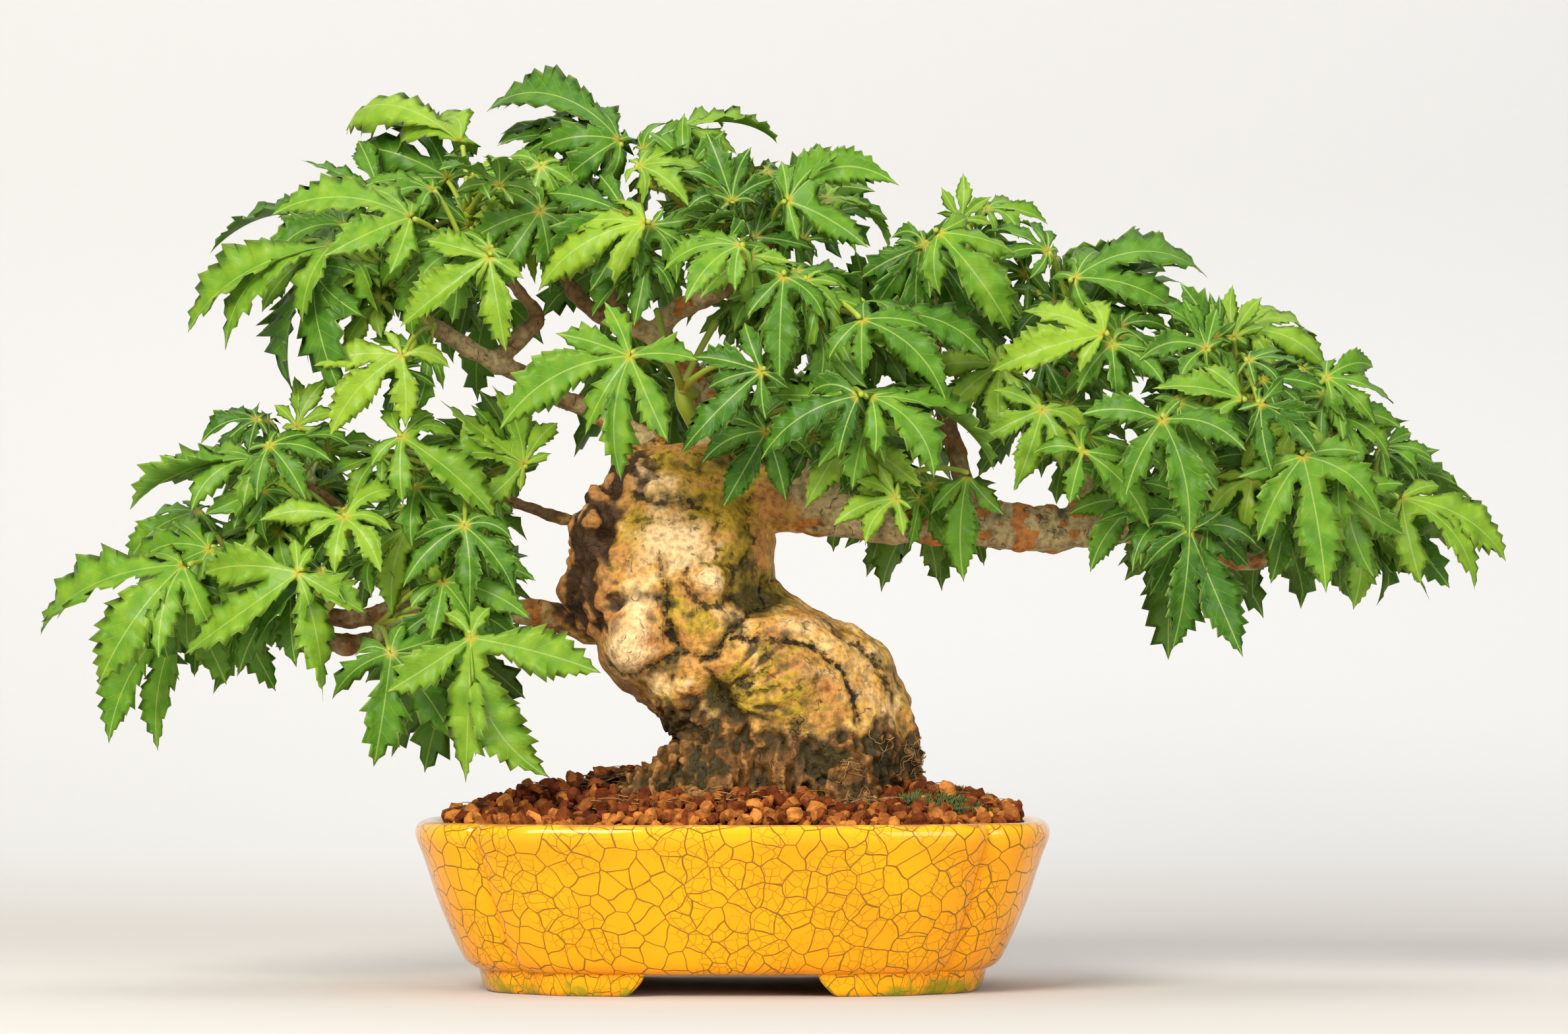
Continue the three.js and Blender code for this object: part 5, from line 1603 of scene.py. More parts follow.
# Shoots with the place of each one's tip, and its leaves: x, y, z of the heart, its heading seen
# from the front, its lean to the front, how far its upper side looks up, its length, how far it
# droops, and the angles of its lobes with their share of the length where they aren't the usual
SHOOTS = {
    "low_left_1": ((-118, -10, 100),
        (-128, -26, 102, 190, 8, 45, 46, 62, {-14: 1, 34: 0.78, 64: 0.5, -56: 0.4, 104: 0.42}),
        (-129, -10, 92, 236, 5, 40, 38, 36, {-4: 1, 17: 0.92, 60: 0.55, -52: 0.5}),
        (-127, -6, 115, 195, 5, 55, 26, 60),
        (-121, -4, 93, 290, 0, 35, 20, 30)),
    "low_left_2": ((-94, -18, 94),
        (-100, -40, 100, 232, 12, 32, 35, 38,
         {-26: 1, -64: 0.8, 47: 0.88, 98: 0.55, -132: 0.3, -165: 0.25}),
        (-107, -12, 110, 205, 12, 45, 24, 45)),
    "low_left_3": ((-83, -16, 88),
        (-60, -42, 85, 278, 8, 8, 38, 20, {-66: 0.62, -10: 0.88, 22: 1, 68: 0.82, 140: 0.25, -140: 0.25}),
        (-67, -34, 98, 345, 18, 35, 25, 32, {0: 0.9, 38: 0.95, -40: 0.9, -80: 0.6, 95: 0.35, -120: 0.4})),
    "low_left_4": ((-91, -10, 108),
        (-90, -32, 113, 262, 35, 28, 20, 22, {0: 0.75, 40: 0.85, -85: 1, 130: 0.9, 85: 0.6, -45: 0.6}),
        (-76, -20, 111, 300, 18, 35, 24, 35),
        (-103, -12, 121, 190, 12, 45, 22, 45)),
    "low_left_5": ((-104, -6, 121),
        (-112, -20, 127, 180, 8, 50, 33, 62, {0: 1, 30: 0.6, -35: 0.6, 75: 0.4}),
        (-108, -26, 130, 310, 22, 38, 18, 30),
        (-113, -4, 137, 182, 5, 55, 17, 42),
        (-103, -10, 135, 60, 8, 35, 15, 20)),
    "low_left_6": ((-63, -10, 120),
        (-77, -26, 132, 325, 15, 30, 30, 35, {0: 1, 45: 0.5, 88: 0.4, 140: 0.4, -50: 0.55, -100: 0.35}),
        (-49, -16, 126, 140, 5, 30, 26, 18),
        (-83, -12, 128, 190, 8, 50, 18, 40),
        (-62, -24, 111, 270, 25, 20, 22, 30)),
    "upper_left_1": ((-81, -8, 170),
        (-94, -20, 177, 182, 5, 50, 43, 78, {0: 1, 24: 0.86, 62: 0.5, -38: 0.42, -80: 0.3}),
        (-92, -8, 183, 168, 0, 60, 36, 45, {0: 1, 38: 0.6, -38: 0.65, -80: 0.4}),
        (-83, -10, 165, 190, 5, 40, 19, 35),
        (-100, -4, 176, 215, 0, 45, 18, 40)),
    "upper_left_2": ((-72, -8, 158),
        (-77, -24, 151, 226, 8, 15, 26, 18, {-42: 0.82, 0: 1, 46: 0.66, 120: 0.45, -100: 0.3}),
        (-85, 0, 171, 168, 0, 50, 16, 25)),
    "upper_left_3": ((-63, -12, 172),
        (-56, -38, 173, 243, 12, 22, 27, 28, {-30: 1, 36: 0.85, -85: 0.65, 85: 0.35, 0: 0.3}),
        (-75, -28, 183, 160, 10, 50, 34, 48, {0: 1, 42: 0.7, 88: 0.5, -45: 0.6, -90: 0.4}),
        (-71, -10, 191, 165, 5, 60, 18, 35)),
    "upper_left_4": ((-62, -6, 186),
        (-65, -4, 203, 128, 0, 55, 43, 114, {0: 1, 35: 0.5, -42: 0.55, -90: 0.35}),
        (-54, -32, 190, 92, 40, 60, 20, 60),
        (-84, 2, 191, 140, 0, 50, 20, 30),
        (-53, -8, 195, 288, 12, 30, 25, 35)),
    "crown_1": ((-40, -8, 190),
        (-27, -8, 203, 131, 0, 55, 42, 94, {0: 1, -36: 0.6, 38: 0.5, 82: 0.5, -95: 0.3, 120: 0.35}),
        (-36, 5, 204, 165, 0, 60, 20, 45),
        (-45, -18, 196, 250, 12, 40, 16, 25),
        (-45, -10, 185, 232, 12, 30, 25, 35)),
    "crown_2": ((-28, -12, 175),
        (-20, -36, 181, 200, 12, 30, 31, 48, {0: 1, -35: 0.7, 40: 0.55, -75: 0.45}),
        (-19, -34, 181, 292, 12, 28, 18, 18),
        (-33, -26, 187, 195, 15, 95, 22, 105)),
    "crown_3": ((-16, -4, 192),
        (-13, -4, 206, 30, 0, 60, 28, 80, {0: 1, 38: 0.6, -38: 0.6, 95: 0.35, -90: 0.35}),
        (0, -24, 187, 112, 0, 22, 19, 12),
        (-22, -16, 196, 5, 12, 50, 20, 35)),
    "crown_4": ((-6, -12, 172),
        (2, -38, 175, 178, 12, 50, 21, 62),
        (4, -40, 173, 268, 12, 22, 17, 18),
        (2, -30, 182, 150, 10, 90, 19, 60)),
    "crown_5": ((8, -10, 180),
        (13, -26, 187, 10, 3, 22, 26, 20, {0: 1, 36: 0.75, -38: 0.85, 90: 0.4, -85: 0.4}),
        (22, -10, 189, 345, 0, 50, 20, 60),
        (8, -14, 195, 330, 8, 55, 16, 50)),
    "crown_6": ((12, -14, 164),
        (12, -45, 168, 268, 10, 15, 25, 16, {0: 1, -40: 0.5, 42: 0.6, -90: 0.35}),
        (15, -38, 170, 350, 8, 55, 23, 75),
        (30, -46, 158, 318, 8, 22, 27, 25, {0: 1, -45: 0.5, -88: 0.45, 42: 0.6}),
        (32, -40, 159, 8, 8, 55, 33, 65, {0: 1, -36: 0.65, 36: 0.5})),
    "crown_7": ((-12, -14, 144),
        (-23, -56, 149, 240, 8, 6, 35, 18,
         {-32: 1, 0: 0.6, 26: 0.82, 54: 0.62, 118: 0.46, -126: 0.42, -78: 0.5}),
        (7, -48, 146, 225, 8, 8, 27, 18, {0: 1, -60: 0.62, -118: 0.5, 50: 0.42, 105: 0.3, -30: 0.5})),
    "right_1": ((26, -16, 138),
        (29, -54, 140, 205, 8, 25, 28, 40, {0: 1, 44: 0.55, -42: 0.5}),
        (32, -50, 140, 356, 8, 45, 37, 72, {0: 1, -34: 0.7, 36: 0.4, -80: 0.4}),
        (8, -32, 133, 240, 12, 22, 22, 28)),
    "right_2": ((38, -16, 124),
        (28, -38, 132, 283, 10, 12, 23, 16),
        (38, -40, 117, 200, 6, 8, 15, 8),
        (55, -24, 123, 268, 5, 22, 25, 14, {0: 1, -42: 0.5, 45: 0.5})),
    "right_3": ((48, -8, 168),
        (45, -26, 177, 228, 14, 38, 18, 36),
        (48, -34, 179, 318, 12, 30, 31, 48, {0: 1, 42: 0.7, -42: 0.5, 88: 0.4}),
        (54, -8, 184, 82, 5, 40, 12, 15),
        (60, -4, 187, 5, 0, 55, 15, 50)),
    "right_4": ((80, -8, 160),
        (80, -26, 169, 22, 0, 38, 38, 62, {0: 1, -30: 0.78, 50: 0.45, 92: 0.36, -85: 0.28, 135: 0.28}),
        (74, -16, 176, 150, 5, 45, 16, 35),
        (86, -38, 155, 190, 8, 28, 28, 36, {0: 1, -40: 0.8, 45: 0.4, -85: 0.5}),
        (88, -36, 153, 275, 12, 18, 18, 16)),
    "right_5": ((75, -12, 134),
        (72, -32, 138, 245, 10, 28, 20, 20),
        (81, -38, 128, 318, 10, 28, 24, 45, {0: 1, -60: 0.55, -140: 0.5, 45: 0.5, 120: 0.4}),
        (63, -26, 149, 215, 16, 32, 22, 32)),
    "right_6": ((109, -12, 140),
        (110, -32, 152, 150, 5, 25, 18, 12),
        (99, -46, 135, 268, 8, 6, 28, 16, {-93: 0.68, -24: 0.7, 14: 1, 72: 0.74, 140: 0.25}),
        (118, -36, 140, 172, 6, 25, 21, 14, {0: 1, -40: 0.6, 45: 0.5})),
    "right_7": ((119, -8, 148),
        (118, -14, 156, 95, 0, 35, 13, 15),
        (121, -16, 158, 25, 0, 50, 25, 75),
        (123, -32, 145, 10, 5, 45, 18, 50),
        (122, -38, 139, 325, 10, 22, 18, 30)),
    "right_8": ((107, -14, 112),
        (106, -36, 110, 278, 5, 8, 32, 10, {-16: 0.88, 15: 1, -58: 0.45, 70: 0.5, -105: 0.3, 115: 0.3}),
        (121, -34, 122, 264, 6, 15, 16, 10),
        (96, -22, 117, 228, 8, 28, 20, 28)),
    "right_9": ((137, -10, 118),
        (132, -38, 127, 280, 6, 18, 32, 16, {0: 1, -38: 0.7, -82: 0.5, 42: 0.75, 85: 0.45}),
        (143, -28, 118, 292, 5, 28, 23, 26),
        (129, -22, 115, 255, 6, 28, 20, 22)),
    "right_10": ((151, -8, 119),
        (157, -20, 118, 342, 3, 32, 32, 42, {0: 1, -28: 0.88, -56: 0.68, 48: 0.4, -95: 0.35}),
        (148, -14, 112, 305, 0, 28, 24, 22),
        (153, -12, 130, 5, 5, 42, 14, 40)),
    "right_11": ((140, -8, 136),
        (139, -22, 146, 0, 0, 38, 20, 55),
        (141, -26, 137, 330, 8, 32, 20, 42),
        (132, -30, 135, 215, 12, 28, 18, 30)),
}
USUAL_LOBES = ((-124, 0.3), (-82, 0.62), (-42, 0.88), (0, 1), (42, 0.88), (82, 0.62), (124, 0.3))


class Side(Enum):
    """Which way a spray looks."""

    FRONT = 1
    BACK = -1


@dataclass
class Leaf:
    """One leaf: its heart, its heading, which side looks up, and its lobes."""

    heart: Array
    point: float
    toward: float
    face: float
    length: float
    droop: float
    lobes: tuple
    side: Side
    seed: int
    coarseness: float = 1.0
    tooth: float = 1.3
    widest: float = 0.17
    rib_lift: float = 0.14
    blade_lift: float = 0.09
    under_rib: float = 1.25
    ripple: float = 0.17
    arch: float = 0.13
    notch: float = 0.34
    narrow_notch: float = 0.42
    narrow_gap: float = 14.0

    def __post_init__(self) -> None:
        """Sets the distance between stations along a lobe."""
        self.step = self.coarseness * float(np.clip(self.length / 28, 0.76, self.tooth))

    def axes(self) -> tuple[Array, Array, Array]:
        """The leaf's heading, its upper side's direction and its left.

        Returns:
            The three directions.
        """
        back = self.side.value
        p, t, f = np.radians([self.point, self.toward, self.face])
        heading = np.array([math.cos(p) * math.cos(t), -math.sin(t) * back, math.sin(p) * math.cos(t)])
        upper = np.array([0, -math.cos(f) * back, math.sin(f)])
        upper = upper - heading * (upper @ heading)
        upper /= np.linalg.norm(upper)
        return heading, upper, np.cross(upper, heading)

    def on_lobe(self, angle: float, length: float, along: Array, aside: Array, lift: Array) -> Array:
        """Places on a lobe that curls down along its length.

        Args:
            angle: The lobe's angle from the middle one, in degrees.
            length: The lobe's length.
            along: Distances from the heart.
            aside: Distances to the left of the lobe's midrib.
            lift: Heights over the lobe's middle surface.

        Returns:
            The places, in the shape of the distances.
        """
        heading, upper, left = self.axes()
        a = math.radians(angle)
        out = math.cos(a) * heading + math.sin(a) * left
        across = math.cos(a) * left - math.sin(a) * heading
        bend = max(math.radians(self.droop) / length, 1e-6)
        turn = (bend * along)[..., None]
        normal = np.cos(turn) * upper + np.sin(turn) * out
        spot = self.heart + out * np.sin(turn) / bend - upper * (1 - np.cos(turn)) / bend
        return spot + aside[..., None] * across + lift[..., None] * normal

    def tips(self) -> Array:
        """Where the lobes end.

        Returns:
            A row of x, y and z for each lobe.
        """
        zero = np.zeros(1)
        reach = [(angle, self.length * ratio) for angle, ratio in self.lobes]
        return np.concatenate([self.on_lobe(a, r, np.array([r]), zero, zero) for a, r in reach])

    def half_width(self, ratio: float, along: Array) -> Array:
        """Half a lobe's free width at distances from the heart, for a lobe of some relative length.

        Args:
            ratio: The lobe's relative length.
            along: Distances from the heart.

        Returns:
            Half the width at each distance.
        """
        length = self.length * ratio
        full = length * self.widest * (1 + 0.25 * (1 - ratio))
        return full * np.interp(along / length, (0, 0.1, 0.25, 0.38, 0.5, 0.62, 0.74, 0.85, 0.93, 1),
                                (0.1, 0.3, 0.56, 0.86, 1, 0.9, 0.64, 0.34, 0.14, 0))

    def meeting(self, before: float, after: float, gap: float) -> int:
        """How many stations two neighbouring lobes share an edge for, the heart's included.

        Args:
            before: One lobe's relative length.
            after: The other's.
            gap: Half the angle between them, in degrees.

        Returns:
            The count of shared stations.
        """
        notch = self.narrow_notch if gap < self.narrow_gap else self.notch
        furthest = min(before, after) * self.length * notch
        along = np.arange(max(3, int(furthest / self.step))) * self.step
        room = np.minimum(self.half_width(before, along), self.half_width(after, along))
        apart = np.flatnonzero(along * math.tan(math.radians(gap)) > room * 1.02)
        apart = apart[apart > 1]
        return int(apart[0]) if len(apart) else len(along)

    def margin(self, along: Array, half: Array, gap: float, shared: int,
               rng: np.random.Generator) -> tuple[Array, Array, Array, Array]:
        """One side's edge of a lobe, joined to its neighbour near the heart and toothed beyond.

        Args:
            along: The stations' distances from the heart.
            half: The free half width at each station.
            gap: Half the angle to the neighbour, in degrees.
            shared: How many stations share their edge with the neighbour.
            rng: The source of the teeth's differences.

        Returns:
            For each station how far out and how far along the edge lies, whether it is joined, and
            whether the blade has any thickness there.
        """
        index = np.arange(len(along))
        reach = along * math.tan(math.radians(gap))
        joined = index < shared
        last = shared - 1
        beyond = half
        if shared > 1:
            beyond = reach[last] + (half - reach[last]) * held((index - last) / 5)
        out = np.where(joined, reach, np.minimum(np.maximum(beyond, 0), reach))
        tip = (index % 2 == 1) & ~joined
        tip[-2:] = False
        bold = rng.uniform(0.2, 1.5, len(along)) + 0.4 * (index // 2 % 3 == 0)
        room = np.clip(half / 3.2, 0.25, 1) * bold
        out = out + np.where(tip, 0.72, np.where(joined, 0, -0.12)) * self.step * room
        out[-1] = 0
        ahead = np.minimum(along + np.where(tip, 0.85 * self.step * room, 0), along[-1])
        return np.maximum(out, 0), ahead, joined, index < last

    def lobe(self, angle: float, along: Array, edges: list,
             rng: np.random.Generator) -> tuple[Array, dict[str, Array]]:
        """The five lines of points that run up a lobe, which bends, twists and folds in its own way.

        Args:
            angle: The lobe's angle from the middle one.
            along: The stations' distances from the heart.
            edges: The right and the left margin.
            rng: The source of the lobes' differences.

        Returns:
            The places above and below by station and line, and their marks.
        """
        # Shares of the length and radians, then the ripples' length in millimetres
        sway, lift, twist = rng.normal(0, (0.06, 0.05, 0.55))
        keel, curl, crinkle = rng.uniform((-0.05, -0.4, 4.5), (0.6, 0.3, 8))
        phases = rng.uniform(0, 2 * math.pi, 2)
        length = along[-1]
        ends = self.on_lobe(angle, length, np.array([0, length]), np.zeros(2), np.zeros(2))
        chord = (ends[1] - ends[0]) / np.linalg.norm(ends[1] - ends[0])
        upward = np.array([0, 0, 1]) - chord[2] * chord
        along = along[:, None]
        share = along / length
        rise = self.arch * max(0.0, 1 - self.droop / 70)
        sag = (rise * length * 4 * share * (1 - share))[..., None] * upward
        # From the right margin over the midrib to the left one
        sides, place = [0, 0, 1, 1, 1], np.array([-1, -0.5, 0, 0.5, 1])
        part = np.abs(place)
        out, ahead, joined, thick = [np.stack([edges[s][k] for s in sides], 1) for k in range(4)]
        v = place * out
        u = along + (ahead - along) * part
        wave = np.sin(2 * math.pi * along / crinkle + phases[sides]) * self.ripple
        free = held(share * 3)
        height = (keel * np.abs(v) * free + curl * v ** 2 * free / (0.172 * length)
                  + wave * out * part * ~joined)
        half = np.where(part > 0, self.blade_lift, self.rib_lift) * held(4 - 4 * share)
        half = half * np.where(part == 1, thick, 1)
        c, s = np.cos(twist * share), np.sin(twist * share)
        sheets = []
        for level in (height + half, height - half * np.where(part == 0, self.under_rib, 1)):
            aside = v * c - level * s + sway * length * 4 * share * (1 - share)
            raised = v * s + level * c + lift * length * share ** 2
            sheets.append(self.on_lobe(angle, length, u, aside, raised) + sag)
        return np.array(sheets), {"along": u, "aside": np.abs(v), "rim": np.where(joined, 0.5, 1) * part}

    def blade(self) -> Shape:
        """The whole blade, closed, with a point and a saw edge on every lobe, and its marks.

        Returns:
            The closed blade.
        """
        rng = np.random.default_rng(self.seed)
        lobes = sorted(self.lobes)
        if self.lobes is USUAL_LOBES:
            lobes = [(angle + rng.normal(0, 4), ratio * rng.uniform(0.86, 1.08))
                     for angle, ratio in lobes]
        outer = min(68.0, (360 - (lobes[-1][0] - lobes[0][0])) / 2)
        gaps, meets = [outer], [1]
        for before, after in zip(lobes, lobes[1:]):
            gaps.append((after[0] - before[0]) / 2)
            meets.append(self.meeting(before[1], after[1], gaps[-1]))
        gaps.append(outer)
        meets.append(1)
        # Leaves inside the crown and the likenesses behind get a lower tone, painted shade that makes
        # them deeper green
        tone = rng.uniform() / self.coarseness
        sheets = []
        for k, (angle, ratio) in enumerate(lobes):
            length = self.length * ratio
            along = np.append(np.arange(max(6, round(length / self.step))) * self.step, length)
            along[-2] = min(along[-2], length - 0.3 * self.step)
            half = self.half_width(ratio, along)
            edges = [self.margin(along, half, gaps[k + s], meets[k + s], rng) for s in (0, 1)]
            sheets.append(self.lobe(angle, along, edges, rng))
        for (mine, _), (theirs, _), common in zip(sheets, sheets[1:], meets[1:]):
            middle = (mine[:, :common, 4] + theirs[:, :common, 0]) / 2
            mine[:, :common, 4] = middle
            theirs[:, :common, 0] = middle
        parts = []
        for places, marks in sheets:
            faces = ring_faces(places.shape[1], 5, closed=False)
            marks = {key: values.ravel() for key, values in marks.items()}
            for under, turned in enumerate((faces, faces[:, ::-1])):
                points = places[under].reshape(-1, 3)
                own = {"under": np.full(len(points), float(under)), "tone": np.full(len(points), tone)}
                parts.append(Shape(points, turned, marks | own))
        return welded(together(parts))


@dataclass
class Shoot:
    """A green shoot with its leaves, on one side of the tree."""

    name: str
    tip: Array
    leaves: list[Leaf]
    side: Side


@dataclass
class Foliage:
    """Every spray of leaves: those that the front shows, and likenesses of them behind."""

    far_from: float = 14.0
    far_leaves: int = 2
    far_stem: float = 8.0
    far_deeper: float = 3.0
    far_shift: tuple = (4.0, 3.0, 3.0)
    far_turn: float = 14.0
    depth_steps: tuple = (0, -2.5, 2.5, -5, 5, -7.5, 7.5, -10, 10, -13, 13)
    stalk_thick: float = 0.8
    stalk_thin: float = 0.55
    stalk_arch: float = 0.09
    shoot_thick: float = 1.5
    shoot_thin: float = 1.15
    pair_first: float = 1.2
    pair_spacing: float = 2.6
    pair_within: float = 0.7
    # Inner and far leaves are meshed this much coarser, and their tone is divided by it as painted shade
    coarse: float = 1.75
    inner_back: tuple = (4.0, 13.0)
    # X, z and radius of the place through which the cut stalks show
    clearing: tuple = (-9.0, 153.0, 19.0)
    leaf: MapleLeaf = MapleLeaf()
    stalk: Blend = GREEN_STALK

    def inner_leaves(self, shoot: Shoot, seed: int) -> list[Leaf]:
        """Smaller leaves behind a shoot's own, nearer to the wood, that fill the spray.

        Args:
            shoot: The shoot, with its leaves at their depths.
            seed: What sets their differences.

        Returns:
            Leaves between the shoot's own and the middle of the tree.
        """
        rng = np.random.default_rng(seed)
        leaves = []
        for own in [leaf for leaf in shoot.leaves for _ in range(2)]:
            _, pull = rng.uniform(size=2)
            turn, nod = rng.normal(0, 38), rng.uniform(-15, 35)
            aside, back = rng.uniform(-7, 7, 3), rng.uniform(*self.inner_back)
            size, tint = rng.uniform(0.55, 0.85), int(rng.integers(1000))
            heart = own.heart + (shoot.tip - own.heart) * (0.15 + 0.5 * pull) + aside * [1, 0, 1]
            heart[1] = own.heart[1] + back * shoot.side.value
            off = math.hypot(heart[0] - self.clearing[0], heart[2] - self.clearing[1])
            if off >= self.clearing[2] or heart[1] >= 0:
                leaves.append(Leaf(heart, own.point + turn, own.toward, own.face + nod,
                                   max(13.0, own.length * size), own.droop * 0.8 + 8, USUAL_LOBES,
                                   shoot.side, 5000 + tint, self.coarse))
        return leaves

    def shoots(self) -> list[Shoot]:
        """All shoots, with a somewhat turned likeness behind for those that reach forward.

        Returns:
            The shoots in front, then those behind.
        """
        near, far = [], []
        for i, (name, (tip, *rows)) in enumerate(SHOOTS.items()):
            tip = np.array(tip, float)
            near.append(Shoot(name, tip, self.leaves_of(rows, Side.FRONT, 40 * i), Side.FRONT))
            forward = [row for row in rows if row[1] <= -self.far_from]
            if len(forward) < self.far_leaves:
                continue
            sway = np.array([math.sin(2.1 * i), math.cos(1.3 * i), math.sin(3.7 * i)])
            shift = sway * self.far_shift
            turned = []
            for k, row in enumerate(forward):
                x, y, z = np.array(row[:3]) + shift
                turn = self.far_turn * math.sin(2.9 * i + k)
                turned.append([x, y - self.far_deeper, z, row[3] + turn, *row[4:]])
            base = np.array([tip[0], min(tip[1], -self.far_stem), tip[2]]) + shift
            leaves = self.leaves_of(turned, Side.BACK, 40 * i + 20)
            far.append(Shoot(f"{name}_far", base * [1, -1, 1], leaves, Side.BACK))
        return near + far

    def leaves_of(self, rows: Sequence, side: Side, seed: int) -> list[Leaf]:
        """Leaves from a table's rows.

        Args:
            rows: The rows of one shoot.
            side: Which way they look.
            seed: What sets the first one's own differences.

        Returns:
            One leaf for each row.
        """
        leaves = []
        coarse = 1.0 if side is Side.FRONT else self.coarse
        for k, (x, y, z, point, toward, face, length, droop, *lobes) in enumerate(rows):
            heart = np.array([x, y * side.value, z], float)
            shape = tuple(lobes[0].items()) if lobes else USUAL_LOBES
            leaves.append(Leaf(heart, point, toward, face, length, droop, shape, side, seed + k, coarse))
        return leaves

    def set_depths(self, shoot: Shoot) -> None:
        """Moves each leaf forward or back to where its node has it.

        Args:
            shoot: The shoot with its leaves.
        """
        node = mesh_points(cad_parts["spray_" + shoot.name].data)
        tree = KDTree(len(node))
        for k, point in enumerate(node):
            tree.insert(point, k)
        tree.balance()
        for leaf in shoot.leaves:
            tips = leaf.tips()
            best = min(self.depth_steps, key=lambda step: sum(
                tree.find(tip + [0, step * leaf.side.value, 0])[2] for tip in tips))
            leaf.heart = leaf.heart + [0, best * leaf.side.value, 0]

    def root_of(self, point: Array) -> Array:
        """The nearest place on the middle of a bough.

        Args:
            point: The place to start from.

        Returns:
            The place on the bough.
        """
        found = []
        for stations in BOUGHS:
            path = np.array(stations, float)[:, :3]
            for a, b in zip(path, path[1:]):
                found.append(a + held((point - a) @ (b - a) / ((b - a) @ (b - a))) * (b - a))
        return min(found, key=lambda place: np.linalg.norm(place - point))

    def stems(self, shoot: Shoot) -> Shape:
        """The shoot itself and an arching stalk to each leaf's heart.

        Args:
            shoot: The shoot with its leaves.

        Returns:
            The stems, with the mark "run".
        """
        root = self.root_of(shoot.tip)
        back = root - shoot.tip
        rows = np.linspace(root, shoot.tip, max(4, round(np.linalg.norm(back) / 1.2)))
        share = np.linspace(0, 1, len(rows))
        radii = self.shoot_thick + (self.shoot_thin - self.shoot_thick) * share
        radii = radii + 0.3 * hump(share - 0.86, 0.06) + 0.3 * hump(share - 0.4, 0.05)
        limbs = [tube(rows, radii, 10)]
        limbs[0].marks["run"] *= 0.6
        for i, leaf in enumerate(shoot.leaves):
            foot = leaf.heart - 0.03 * leaf.length * leaf.axes()[0]
            run = self.pair_first + self.pair_spacing * (i // 2)
            start = shoot.tip + back * min(run / np.linalg.norm(back), self.pair_within)
            gap = np.linalg.norm(foot - start)
            share = np.linspace(0, 1, max(6, round(gap / 1.6)))
            path = start + (foot - start) * share[:, None]
            path[:, 2] += self.stalk_arch * gap * 4 * (share * (1 - share))
            taper = self.stalk_thick + (self.stalk_thin - self.stalk_thick) * share
            taper = taper + 0.45 * hump(share, 0.1) + 0.12 * hump(share - 1, 0.08)
            limbs.append(tube(path, taper, 8))
        return together(limbs)

    def build(self) -> Material:
        """Makes every spray as one piece of leaves and stalks.

        Returns:
            The stalk material, which the cut stalks share.
        """
        materials = [self.leaf.material(), self.stalk.material()]
        for k, shoot in enumerate(self.shoots()):
            self.set_depths(shoot)
            shoot.leaves += self.inner_leaves(shoot, 900 + k)
            blades = together([leaf.blade() for leaf in shoot.leaves])
            stems = self.stems(shoot)
            stems.coat = 1
            piece = make_object("leaves_" + shoot.name, together([blades, stems]), materials)
            settle(piece, "leaf", "spray_" + shoot.name)
        return materials[1]


@dataclass(frozen=True)
class StudioPaper:
    """Seamless paper in an off-white, dull enough to take soft shadows only."""

    wall: str = "#c8c8c7"
    floor: str = "#c4c0ba"
    roughness: float = 0.9

    def material(self) -> Material:
        """Builds the plain paper, warmer where it lies flat and clear from behind.

        Returns:
            The material.
        """
        return dressed("studio_paper", "", [
            ("parts", "SeparateXYZ", {"Vector": ">place.Object"}),
            ("upright", "MapRange", spread(">parts.Z", 0, 0.02)),
            *coats(self.floor, [("upright", self.wall)]),
            ("skin", "BsdfPrincipled", {"Roughness": self.roughness, "Base Color": ">coated.2"}),
            ("side", "NewGeometry", {}), ("clear", "BsdfTransparent", {}),
            ("both", "MixShader", {0: ">side.Backfacing", 1: ">skin", 2: ">clear"}),
        ])


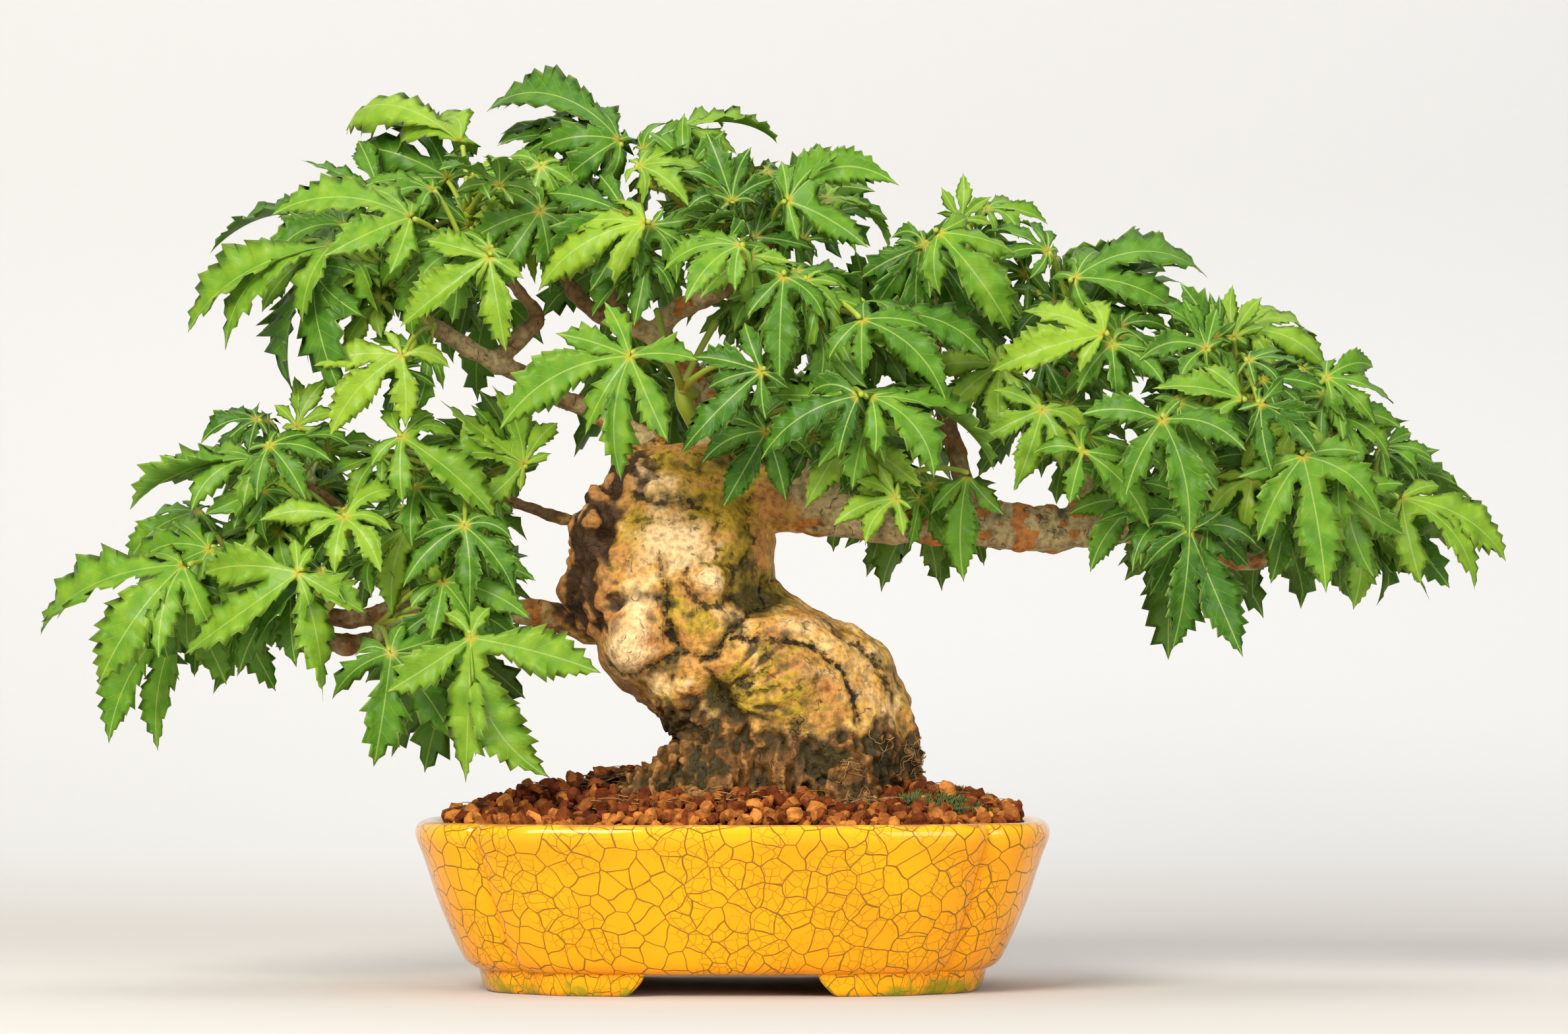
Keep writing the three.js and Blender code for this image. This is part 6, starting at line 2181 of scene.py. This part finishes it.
@dataclass
class Studio:
    """A pale sweep of paper, soft lights round it and a level camera. Millimetres and watts."""

    sweep_half: float = 2600.0
    sweep_front: float = -2200.0
    sweep_back: float = 300.0
    sweep_radius: float = 240.0
    sweep_top: float = 2600.0
    camera_place: tuple = (12.1, -1300.0, 75.0)
    camera_middle: float = 114.1
    lens: float = 125.4
    sensor: float = 36.0
    sky: str = "#f4f6fa"
    sky_strength: float = 0.3
    # Each light's name, place, aim, width, height, watts and colour
    lights: tuple = (
        ("key", (-560, -1050, 820), (0, 0, 110), 700, 600, 25, "#fffaf2"),
        ("fill", (900, -1150, 450), (0, 0, 110), 900, 700, 12, "#f8faff"),
        ("top", (100, 0, 1300), (0, 0, 110), 900, 600, 4, "#ffffff"),
        ("wall", (0, 150, 1500), (0, 540, 500), 2400, 500, 5, "#ffffff"),
    )
    paper: StudioPaper = StudioPaper()

    def sweep(self) -> None:
        """Lays the floor that curves up into a wall behind."""
        turn = np.linspace(0, math.pi / 2, 16)
        curve = np.stack([self.sweep_back + self.sweep_radius * np.sin(turn),
                          self.sweep_radius * (1 - np.cos(turn))], -1)
        line = np.concatenate([[(self.sweep_front, 0)], curve,
                               [(self.sweep_back + self.sweep_radius, self.sweep_top)]])
        rows = np.array([[(side * self.sweep_half, y, z + STAND) for side in (-1, 1)] for y, z in line])
        shape = Shape(rows.reshape(-1, 3), ring_faces(len(rows), 2, closed=False))
        make_object("paper_sweep", shape, [self.paper.material()])

    def place(self, name: str, data: bpy.types.ID, spot: Sequence[float]) -> Object:
        """Puts a light or a camera into the scene at a spot.

        Args:
            name: The object's name.
            data: The light or camera.
            spot: Where.

        Returns:
            The object.
        """
        item = bpy.data.objects.new(name, data)
        item.location = Vector(in_frame(np.array(spot, float)))
        bpy.context.scene.collection.objects.link(item)
        return item

    def camera(self) -> None:
        """Sets up the level camera in front of the pot, with its lens raised as on a bellows."""
        lens = bpy.data.cameras.new("camera")
        lens.lens, lens.sensor_width, lens.clip_start, lens.clip_end = self.lens, self.sensor, 0.05, 50
        field = -self.camera_place[1] * self.sensor / self.lens
        lens.shift_y = (self.camera_middle - self.camera_place[2]) / field
        eye = self.place("camera", lens, self.camera_place)
        eye.rotation_euler = (math.pi / 2, 0, 0)
        bpy.context.scene.camera = eye

    def build(self) -> None:
        """Sets up the sky, the sweep, the lights and the camera."""
        world = bpy.data.worlds.new("studio")
        world.use_nodes = True
        tree, nodes = world.node_tree, {}
        tree.nodes.clear()
        add_node(tree, nodes, "sky", "Background", {"Color": self.sky, "Strength": self.sky_strength})
        add_node(tree, nodes, "out", "OutputWorld", {"Surface": ">sky"})
        bpy.context.scene.world = world
        bpy.context.scene.view_settings.view_transform = "Standard"
        self.sweep()
        for name, spot, aim, wide, high, watts, tint in self.lights:
            lamp = bpy.data.lights.new(name, "AREA")
            lamp.shape, lamp.size, lamp.size_y = "RECTANGLE", wide * MM, high * MM
            lamp.energy, lamp.color = watts, linear(tint)[:3]
            hung = self.place(name, lamp, spot)
            hung.rotation_euler = (Vector(aim) - Vector(spot)).to_track_quat("-Z", "Y").to_euler()
            hung.visible_camera = False
        self.camera()
        log.info("studio: sweep, %d soft lights and a level camera", len(self.lights))


def main() -> None:
    """Builds every piece of the tree and its studio in order."""
    logging.basicConfig(level=logging.INFO, format="%(message)s")
    pot = GlazedPot()
    soil = SoilBed()
    pot.build()
    DrainScreens().dress()
    wood = MapleWood().build()
    soil.build(pot, wood)
    MossCushions().build(soil)
    stalk_material = Foliage().build()
    CutStalks().build(stalk_material)
    Studio().build()


if __name__ == "__main__":
    main()
